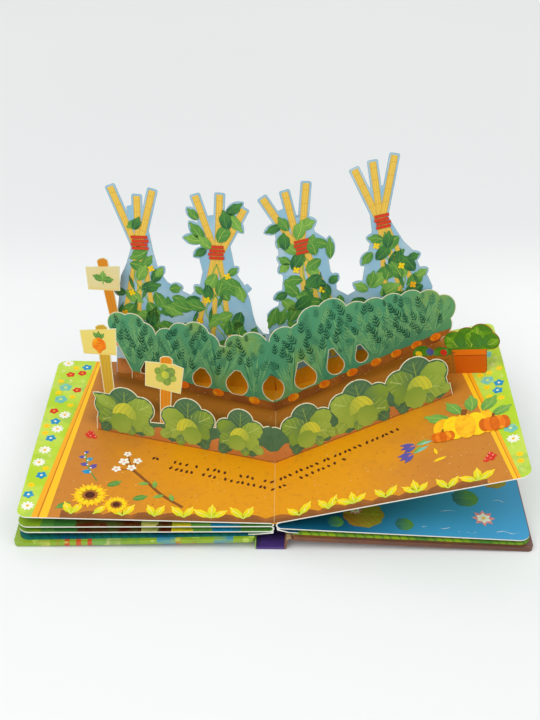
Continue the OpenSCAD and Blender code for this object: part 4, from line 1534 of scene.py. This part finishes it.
@dataclass(frozen=True)
class Climb:
    """What climbs one wing of the trellis.

    Attributes:
        fans: each fan's foot and its canes' tips.
        ties: each twine's near and far end and its height.
        outline: leaves on the card's own lobes: place, turn, length and width.
        leaves: leaves over the others: place, turn and length.
    """

    fans: Tuple[Tuple[Spot, Tuple[Spot, ...]], ...]
    ties: Tuple[Tuple[float, float, float], ...]
    outline: Tuple[Tuple[float, float, float, float, float], ...]
    leaves: Tuple[Tuple[float, float, float, float], ...]


@dataclass
class Trellis(StandingCard):
    """The tall card: fans of canes tied with twine, with climbing leaves."""

    y: float = 69.8
    turns: Tuple[float, float] = (9.0, 10.0)
    lean: float = 10.0
    rim: float = 0.6
    cane_wide: float = 6.0
    leaf_rows: Tuple[int, int] = (8, 13)
    leaf_pitch: Tuple[float, float] = (12.0, 13.4)
    leg_steps: int = 8
    climbs: Tuple[Climb, Climb] = (
        Climb((((127, 122), ((153, 176), (129, 170), (115, 176))),
               ((57, 122), ((79, 175), (57, 178), (35, 167)))),
              ((118.0, 133.0, 120.0), (51.0, 64.5, 118.0)),
              ((127, 146, -32, 14, 10), (137, 78, 14, 13, 10), (112, 96, 126, 14, 9), (100, 86, 165, 14, 11),
               (68, 84, 45, 13, 9), (66, 128, -37, 16, 10), (69, 134, 4, 20, 11), (68, 134, 47, 23, 12),
               (74, 152, 42, 16, 10), (52, 158, 139, 21, 11), (52, 162, 227, 25, 12), (48, 104, 135, 14, 9)),
              ((57, 134, 118, 19), (49, 146, 75, 18), (63, 128, 40, 15), (118, 140, 75, 14),
               (131, 138, 110, 13), (38, 96, 250, 17), (27, 76, 200, 18), (24, 50, 110, 17),
               (42, 70, 330, 16), (34, 40, 200, 15))),
        Climb((((54, 120), ((35, 175), (55, 175), (75, 177))),
               ((127, 124), ((116, 176), (133, 178), (153, 178)))),
              ((50.0, 63.0, 116.0), (122.0, 135.0, 117.0)),
              ((23, 77, 232, 24, 12), (35, 86, 188, 15, 10), (43, 112, 208, 14, 10), (44, 110, 135, 15, 10),
               (46, 139, 230, 16, 10), (46, 146, 187, 18, 10), (58, 140, 5, 17, 13), (77, 104, 77, 22, 10),
               (62, 118, 60, 16, 12), (70, 83, 30, 13, 10), (103, 66, 137, 17, 11), (115, 100, 215, 17, 11),
               (127, 107, 157, 17, 11), (141, 84, 8, 14, 10), (145, 66, 20, 14, 10)),
              ((49, 140, 110, 15), (42, 124, 80, 16), (54, 130, 60, 18), (66, 112, 95, 16),
               (127, 99, 70, 16), (74, 98, 250, 16), (82, 92, 310, 14), (69, 84, 250, 15), (146, 92, 100, 15),
               (104, 70, 60, 15))))

    def ground(self, tree: Tree, u: Wire, v: Wire) -> Wire:
        """Sky with a soft wash, above a band of red-brown soil."""
        sky = tree.blots(Ink.SKY, Ink.WHITE, 26.0, 0.25, 0.4, 0.75)
        # Painted light: near the fold the soil band turns a brighter orange, where it lies in the hedge's
        # shade.
        soil = tree.mix(1.0 - u.ease(98.0, 110.0), tree.blots(Ink.ROW_SOIL, Ink.BANK, 12.0), Ink.SOIL_GLOW)
        soil = tree.dots(soil, Ink.CREAM, 6.0, 0.09, 0.6)
        return tree.mix(v + tree.noise(9.0) * 5.0 > 17.0, soil, sky)

    def _cane(self, run: PrintRun, start: Spot, end: Spot, layer: int, legs: bool) -> None:
        """One cane: up to just short of the card's own tip, or a stretch of its leg between the leaves."""
        turn, length = heading(start, end), math.dist(start, end)
        if legs:
            run.fit(Cut.BAR, Tint.CANE, *start, turn, length, 4.6, layer, 0.3, 0.9)
        else:
            run.lay(Cut.BAR, Tint.CANE, *start, turn, length - 1.8, self.cane_wide, layer)

    def _legs(self, run: PrintRun, middle: float) -> None:
        """The canes' lower parts, seen between the leaves."""
        for layer, (offset, foot) in enumerate(((-2.0, -19.0), (0.0, 1.5), (2.0, 21.0))):
            marks = [1.0 - step / self.leg_steps for step in range(self.leg_steps + 1)]
            spots = [(middle + foot + (offset - foot) * mark, 16 + 108 * mark) for mark in marks]
            for end, start in zip(spots, spots[1:]):
                self._cane(run, start, end, layer, True)

    def _vines(self, run: PrintRun, middle: float) -> None:
        """Two vines that wind up a fan."""
        for phase in (0.0, math.pi):
            spots = [(middle + math.sin(v / 9.0 + phase) * (3.0 + (120 - v) * 0.1), v)
                     for v in range(36, 118, 6)]
            kept = [(u, v) for u, v in spots
                    if all(run.card.holds(run.plane, u + off, v) for off in (-1.5, 1.5))]
            if len(kept) > 3:
                run.ribbon(Tint.VINE, kept, 1.1, 3)

    def _scatter(self, run: PrintRun, draw: random.Random, greens: Sequence[Tint]) -> None:
        """Leaves all over the wing."""
        rise, pitch = self.leaf_pitch
        for row in range(self.leaf_rows[0]):
            for column in range(self.leaf_rows[1]):
                u = 3 + (column + (row % 2) / 2) * pitch + draw.uniform(-3, 3)
                v = 34 + row * rise + draw.uniform(-3, 3)
                turn = draw.choice((20, 60, 120, 160, 200, 250, 300, 340)) + draw.uniform(-18, 18)
                length = draw.uniform(16.0, 21.0)
                run.fit(Cut.LEAF, greens[(row + column) % 4], u, v, turn, length, length * 0.56,
                        3 + (row % 2) * 3 + column % 3, 0.9, 0.62)

    def _climbers(self, run: PrintRun, climb: Climb, draw: random.Random) -> None:
        """Vines, leaves, pods and blooms of one wing."""
        greens = (Tint.LEAF, Tint.LEAF_DEEP, Tint.LEAF_LIGHT, Tint.LEAF)
        middles = [(near + far) / 2 for near, far, _ in climb.ties]
        for middle in middles:
            self._vines(run, middle)
        self._scatter(run, draw, greens)
        for order, (u, v, turn, length, width) in enumerate(climb.outline):
            c, s = toward(turn)
            run.lay(Cut.LEAF, greens[order % 4], u + 1.2 * c, v + 1.2 * s, turn, length - 2.8, width - 2.6, 9)
        for order, (u, v, turn, length) in enumerate(climb.leaves):
            run.fit(Cut.LEAF, greens[order % 3], u, v, turn, length, length * 0.6, 11 + order % 2, 0.9, 0.6)
        for middle in middles:
            for offset, v, turn in ((-7, 88, -70), (10, 96, -110), (3, 74, -84), (-13, 64, -96),
                                    (15, 70, -72)):
                run.fit(Cut.BLADE, Tint.LEAF_DEEP, middle + offset, v, turn, 15, 3.0, 10)
            for offset, v, tint in ((7, 80, Tint.YELLOW), (-10, 104, Tint.YELLOW), (13, 60, Tint.GOLD)):
                for step in range(4):
                    run.fit(Cut.PETAL, tint, middle + offset, v, step * 90 + 20, 3.2, 2.6, 12 + step % 2, 0.4)

    def build(self, nodes: Dict[str, bpy.types.Object]) -> None:
        """Dresses the card and prints its canes, vines and leaves."""
        # The fold's earth colour is partly painted light, for the shaded foot of the trellis.
        finish = self.card_finish("trellis_back", Ink.SKY, Ink.RIM_SKY, Ink.SKY, Ink.SOIL_BRICK, 15.0)
        card = Card(nodes["trellis_card"]).dress(finish)
        self.sheets("trellis_sky", "trellis_print", card, "trellis_ground")
        canes = PrintRun("trellis_canes", self.wing(-1), card)
        vines = PrintRun("trellis_vines", self.wing(-1), card)
        for index, climb in enumerate(self.climbs):
            canes.plane = vines.plane = self.wing((-1, 1)[index])
            for (from_u, from_v), tips in climb.fans:
                for layer, tip in enumerate(tips):
                    self._cane(canes, (from_u + (tip[0] - from_u) * 0.06, from_v), tip, layer, False)
            for near, far, low in climb.ties:
                self._legs(canes, (near + far) / 2)
                for step in range(4):
                    vines.lay(Cut.BAR, Tint.TWINE, near + step % 2, low + 2.2 + step * 3.3, -4, far - near,
                              2.7, 10)
            self._climbers(vines, climb, random.Random(31 + index))
        canes.done("trellis_print")
        vines.done("trellis_print")


@dataclass(frozen=True)
class SignPlan:
    """One sign as it was cut: card, the board's corners anticlockwise, the post's ends, and paints."""

    name: str
    corners: Tuple[Spot, ...]
    foot: Spot
    top: Spot
    board: Ink
    post: Ink


def bare(tree: Tree, plane: Plane, edge: Wire, back: Ink) -> bpy.types.Material:
    """A small card's own finish: one colour at the edges of its printed face, another on its back."""
    return tree.finish(tree.mix(tree.looks(plane.out) < -0.9, edge, back))


@dataclass
class Signs:
    """Three posts with boards, each with a plain plant emblem."""

    plan: BookPlan
    row: FrontRow
    hedge: Hedge
    rim: float = 0.6
    signs: Tuple[SignPlan, ...] = (
        SignPlan("sign_low", ((113, 74.5), (89, 76.5), (80, 74), (82.5, 49.5), (113.5, 51.5)), (96, 6),
                 (95, 82), Ink.CREAM_YELLOW, Ink.POST),
        SignPlan("sign_middle", ((170, 93), (138, 100), (138, 75), (167, 71.5)), (142, 6), (151, 101),
                 Ink.CREAM_YELLOW, Ink.MUSTARD),
        SignPlan("sign_high", ((183, 101), (150, 108), (149.5, 84.5), (180.5, 79.5)), (149, 30), (167, 112),
                 Ink.CREAM, Ink.POST))

    def _wood(self, tree: Tree, u: Wire, v: Wire, sign: SignPlan) -> Wire:
        """Painted wood with streaks that follow the post."""
        (foot_u, foot_v), (top_u, top_v) = sign.foot, sign.top
        off = u - foot_u - (v - foot_v) * ((top_u - foot_u) / (top_v - foot_v))
        streak = (off * 0.34 + tree.noise(16.0, 2.0) * 1.2).stripes(0.07)
        return tree.mix(streak * 0.45, tree.blots(sign.post, Ink.CANE_DARK, 24.0, 0.4), Ink.SOIL_BROWN)

    def _paint(self, plane: Plane, sign: SignPlan) -> bpy.types.Material:
        """The painted front: the board inside its corners, the post elsewhere."""
        tree = Tree(sign.name + "_front")
        u, v = plane.read(tree)
        depths = [((v - b) * (c - a) - (u - a) * (d - b)) / math.dist((a, b), (c, d))
                  for (a, b), (c, d) in zip(sign.corners, sign.corners[1:] + sign.corners[:1])]
        inside = depths[0] > 0.0
        for depth in depths[1:]:
            inside = inside * (depth > 0.0)
        board = tree.blots(sign.board, Ink.CANE, 14.0, 0.3, 0.4, 0.75)
        board = tree.mix((depths[2 if len(depths) == 4 else 1] < 2.0) * 0.4, board, Ink.CANE)
        return tree.finish(tree.mix(inside, self._wood(tree, u, v, sign), board))

    def _emblem(self, run: PrintRun, name: str, u: float, v: float) -> None:
        """A sign's plant: an orange root, a young shoot or a leafy rosette."""
        if name == "sign_low":
            for step in range(6):
                tint = (Tint.HEAD, Tint.HEAD_LIGHT)[step % 2]
                run.lay(Cut.ROUND, tint, u, v, step * 60 + 20, 10.0, 8.6, step % 3)
            run.spot(Cut.DISC, Tint.HEART, u, v, 7, 3)
        elif name == "sign_middle":
            for layer, way in enumerate((52, 128, 90)):
                run.lay(Cut.BLADE, Tint.LEAF, u, v + 2.5, way, 8.0, 3.4, layer)
            run.lay(Cut.LEAF, Tint.ORANGE, u, v + 4.5, -92, 15.0, 12.0, 3)
            for step in range(3):
                run.lay(Cut.BAR, Tint.ORANGE_DEEP, u - 3.0 + step, v + 1.5 - step * 2.6, 6, 4.4, 0.5, 4)
        else:
            run.lay(Cut.BLADE, Tint.LEAF_LIGHT, u, v - 6.5, 90, 8.0, 1.6, 0)
            for layer, way in enumerate((14, 166)):
                run.lay(Cut.LEAF, Tint.LEAF, u, v - 1.5, way, 10.5, 6.2, 1 + layer)
            run.lay(Cut.LEAF, Tint.LEAF_LIGHT, u, v - 2.0, 90, 9.5, 6.0, 3)

    def build(self, nodes: Dict[str, bpy.types.Object]) -> None:
        """Dresses the three signs."""
        back = self.plan.card_t + self.plan.glue_gap
        for sign in self.signs:
            plane = (self.hedge if sign.name == "sign_high" else self.row).wing(-1, back)
            tree = Tree(sign.name + "_card")
            edge = tree.mix(tree.noise(4.0) * 0.3, Ink.RIM, sign.board)
            card = Card(nodes[sign.name]).dress(bare(tree, plane, edge, sign.post))
            run = PrintRun(sign.name + "_paint", plane, card)
            run.parts.append(card.sheet(plane, self._paint(plane, sign), self.rim))
            middle = [sum(places) / len(places) for places in zip(*sign.corners)]
            self._emblem(run, sign.name, *middle)
            run.done("sign_print")


@dataclass
class Planter:
    """The trough of greens and the slatted crate beside it."""

    plan: BookPlan
    place: Spot = (126.0, 52.5)
    turn: float = -18.0
    stand: float = 84.0
    rim: float = 0.5

    def _ground(self, plane: Plane) -> bpy.types.Material:
        """The crate's brown, the trough's orange with a paler rim band, and the crown's green."""
        tree = Tree("planter_ground")
        u, v = plane.read(tree)
        trough = tree.blots(Ink.ORANGE_DEEP, Ink.TWINE, 14.0, 0.2, 0.4)
        trough = tree.mix((v > 17.6) * (v < 23.0), trough, Ink.ORANGE)
        trough = tree.mix(v.within(17.0, 17.7) * 0.6, trough, Ink.SOIL_RED)
        face = tree.mix(u > 35.2, tree.blots(Ink.CRATE, Ink.SOIL_DARK, 10.0, 0.35, 0.4), trough)
        green = tree.blots(Ink.CROWN_DEEP, Ink.CROWN, 8.0, 0.6, 0.4)
        return tree.finish(tree.mix((v > 23.0).either((v > 15.0) * (u < 34.0)), face, green))

    def build(self, nodes: Dict[str, bpy.types.Object]) -> None:
        """Dresses the planter and prints its trough, greens and crate."""
        page = self.plan.page(1)
        plane = Plane(page.at(*self.place), *page.upright(self.turn, self.stand))
        tree = Tree("planter_card")
        edge = tree.blots(Ink.BANK, Ink.ORANGE_DEEP, 3.0, 0.6, 0.4, 0.8)
        card = Card(nodes["planter_card"]).dress(bare(tree, plane, edge, Ink.ORANGE))
        run = PrintRun("planter_paint", plane, card)
        run.parts.append(card.sheet(plane, self._ground(plane), self.rim))
        for u, v, turn, size in ((6, 17, 118, 10), (12, 16, 74, 11), (20, 16, 112, 9), (26, 16, 62, 10)):
            run.fit(Cut.LEAF, Tint.LEAF, u, v, turn, size, size * 0.6, 0, 0.6, 0.5)
        for u, v, size, tint in ((2, 19, 6.0, Tint.YELLOW), (12, 21, 6.4, Tint.VIOLET),
                                 (24, 20, 6.0, Tint.RED)):
            run.fit(Cut.DISC, tint, u, v, 10, size, size, 1, 0.5, 0.5)
        for step in range(4):
            run.fit(Cut.BAR, Tint.CRATE, 0.9, 2.9 + step * 4.3, 0, 33.5, 3.3, 2, 0.1, 0.4)
        for u in (2.4, 17.0, 32.0):
            run.fit(Cut.BAR, Tint.CRATE, u, 1.2, 90, 17.2, 2.8, 3, 0.1, 0.4)
        for step, (u, v, turn, length) in enumerate((
                (40, 25, 128, 15), (47, 25, 108, 18), (57, 26, 84, 19), (64, 26, 60, 18), (51, 25, 76, 18),
                (43, 25, 92, 15), (66, 27, 28, 12), (60, 25, 112, 16), (36, 25, 150, 9))):
            run.fit(Cut.LEAF, (Tint.CROWN, Tint.CROWN_DEEP)[step % 2], u, v, turn, length, length * 0.66,
                    1 + step, 0.6, 0.4)
        run.done("planter_print")


@dataclass
class Studio:
    """The camera, the pale floor and the soft lights.

    The camera's angles are in degrees and its stand in millimetres; the lamps' aim and the floor in metres.
    """

    lens: float = 61.56
    pitch: float = 33.228
    yaw: float = -0.595
    roll: float = 0.203
    stand: Tuple[float, float, float] = (6.82, -835.97, 650.11)
    aim: Tuple[float, float, float] = (0.0, 0.0, 0.05)
    floor_size: float = 12.0
    floor_drop: float = 0.0003
    room_light: float = 0.62
    room_white: float = 0.92

    def camera(self) -> None:
        """Sets the camera where the photograph was taken from."""
        data = bpy.data.cameras.new("camera")
        data.lens = self.lens
        data.sensor_width = 36.0
        data.sensor_fit = "AUTO"
        data.clip_start = 0.01
        pitch, yaw, roll = (math.radians(a) for a in (self.pitch, self.yaw, self.roll))
        ahead = Vector((math.sin(yaw) * math.cos(pitch), math.cos(yaw) * math.cos(pitch), -math.sin(pitch)))
        level = Vector((math.cos(yaw), -math.sin(yaw), 0.0))
        over = level.cross(ahead)
        right, up = spun(level, over, roll)
        thing = placed("camera", data)
        turned = Matrix((right, up, -ahead)).transposed().to_4x4()
        thing.matrix_world = Matrix.Translation(Vector(self.stand) * MM) @ turned
        bpy.context.scene.camera = thing

    def floor(self) -> None:
        """Adds a wide pale floor just under the book, lit up a little where the camera sees it."""
        bpy.ops.mesh.primitive_plane_add(size=self.floor_size, location=(0, 0, -self.floor_drop))
        thing = bpy.context.object
        thing.name = "floor"
        tree = Tree("floor_paper", 0.75, 0.2)
        colour = tree.mix(tree.noise(900.0, 1.0), (0.83, 0.85, 0.845, 1.0), (0.88, 0.895, 0.89, 1.0))
        x, y, _ = tree.xyz()
        reach = (x * x + y * y).root()
        far = reach.ease(450.0, 1450.0) * 0.23 + reach.ease(1450.0, 4500.0) * 0.77
        # Painted light: near the book, and more to its right, the floor glows brighter, which pales the
        # book's shadow there.
        near = y.ease(-170.0, -20.0) * (1.0 - y.ease(240.0, 470.0)) * (x.ease(-300.0, 300.0) * 0.14 + 0.2)
        seen = tree.node("ShaderNodeLightPath", {}, {}, "Is Camera Ray")
        lift = tree.mix((far + near) * seen, (0.0, 0.0, 0.0, 1.0), (0.39, 0.375, 0.37, 1.0))
        tree.feed(tree.shader.inputs["Emission Color"], lift)
        tree.shader.inputs["Emission Strength"].default_value = 1.0
        thing.data.materials.append(tree.finish(colour, 0.05))

    def world(self) -> None:
        """Lights the room evenly, and shows it white where a ray meets nothing."""
        world = bpy.data.worlds.new("room")
        bpy.context.scene.world = world
        world.use_nodes = True
        nodes, links = world.node_tree.nodes, world.node_tree.links
        nodes.clear()
        rays = nodes.new("ShaderNodeLightPath")
        seen = rays.outputs["Is Camera Ray"]
        for name in ("Is Glossy Ray", "Is Transmission Ray"):
            either = nodes.new("ShaderNodeMath")
            either.operation = "MAXIMUM"
            links.new(seen, either.inputs[0])
            links.new(rays.outputs[name], either.inputs[1])
            seen = either.outputs[0]
        strength = nodes.new("ShaderNodeMapRange")
        strength.inputs["To Min"].default_value = self.room_light
        strength.inputs["To Max"].default_value = self.room_white
        links.new(seen, strength.inputs["Value"])
        sky = nodes.new("ShaderNodeBackground")
        sky.inputs["Color"].default_value = (0.985, 0.995, 1.0, 1.0)
        links.new(strength.outputs[0], sky.inputs["Strength"])
        output = nodes.new("ShaderNodeOutputWorld")
        links.new(sky.outputs[0], output.inputs[0])

    def lamp(self, name: str, place: Tuple[float, float, float], size: float, watts: float) -> None:
        """Adds a soft square lamp that looks at the book.

        Args:
            name: the lamp's name.
            place: where it hangs, in metres.
            size: its width in metres.
            watts: its power.
        """
        data = bpy.data.lights.new(name, "AREA")
        data.size = size
        data.energy = watts
        thing = placed(name, data)
        thing.location = place
        thing.rotation_euler = (Vector(self.aim) - Vector(place)).to_track_quat("-Z", "Y").to_euler()

    def build(self) -> None:
        """Sets up the studio."""
        self.camera()
        self.floor()
        self.world()
        self.lamp("key", (-0.9, -1.0, 1.7), 1.6, 21.0)
        self.lamp("fill", (1.3, -0.6, 1.2), 1.4, 6.0)
        self.lamp("back", (0.2, 1.1, 1.9), 1.6, 3.0)
        bpy.context.scene.view_settings.view_transform = "Standard"
        LOG.info("studio set")


def main() -> None:
    """Builds the looks in order."""
    logging.basicConfig(level=logging.INFO, format="%(message)s")
    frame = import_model()
    nodes = frame["nodes"]
    Studio().build()
    plan = BookPlan()
    CaseDress().build(nodes)
    pages = PagesDress(plan)
    pages.build(nodes)
    meadow = BorderFlowers(plan, pages)
    meadow.build(-1, "meadow_left")
    meadow.build(1, "meadow_right")
    GroundPrint(plan).build()
    PondPrint(plan).build()
    row, hedge = FrontRow(plan), Hedge(plan)
    for card in (row, hedge, Trellis(plan), Signs(plan, row, hedge), Planter(plan)):
        card.build(nodes)


if __name__ == "__main__":
    main()
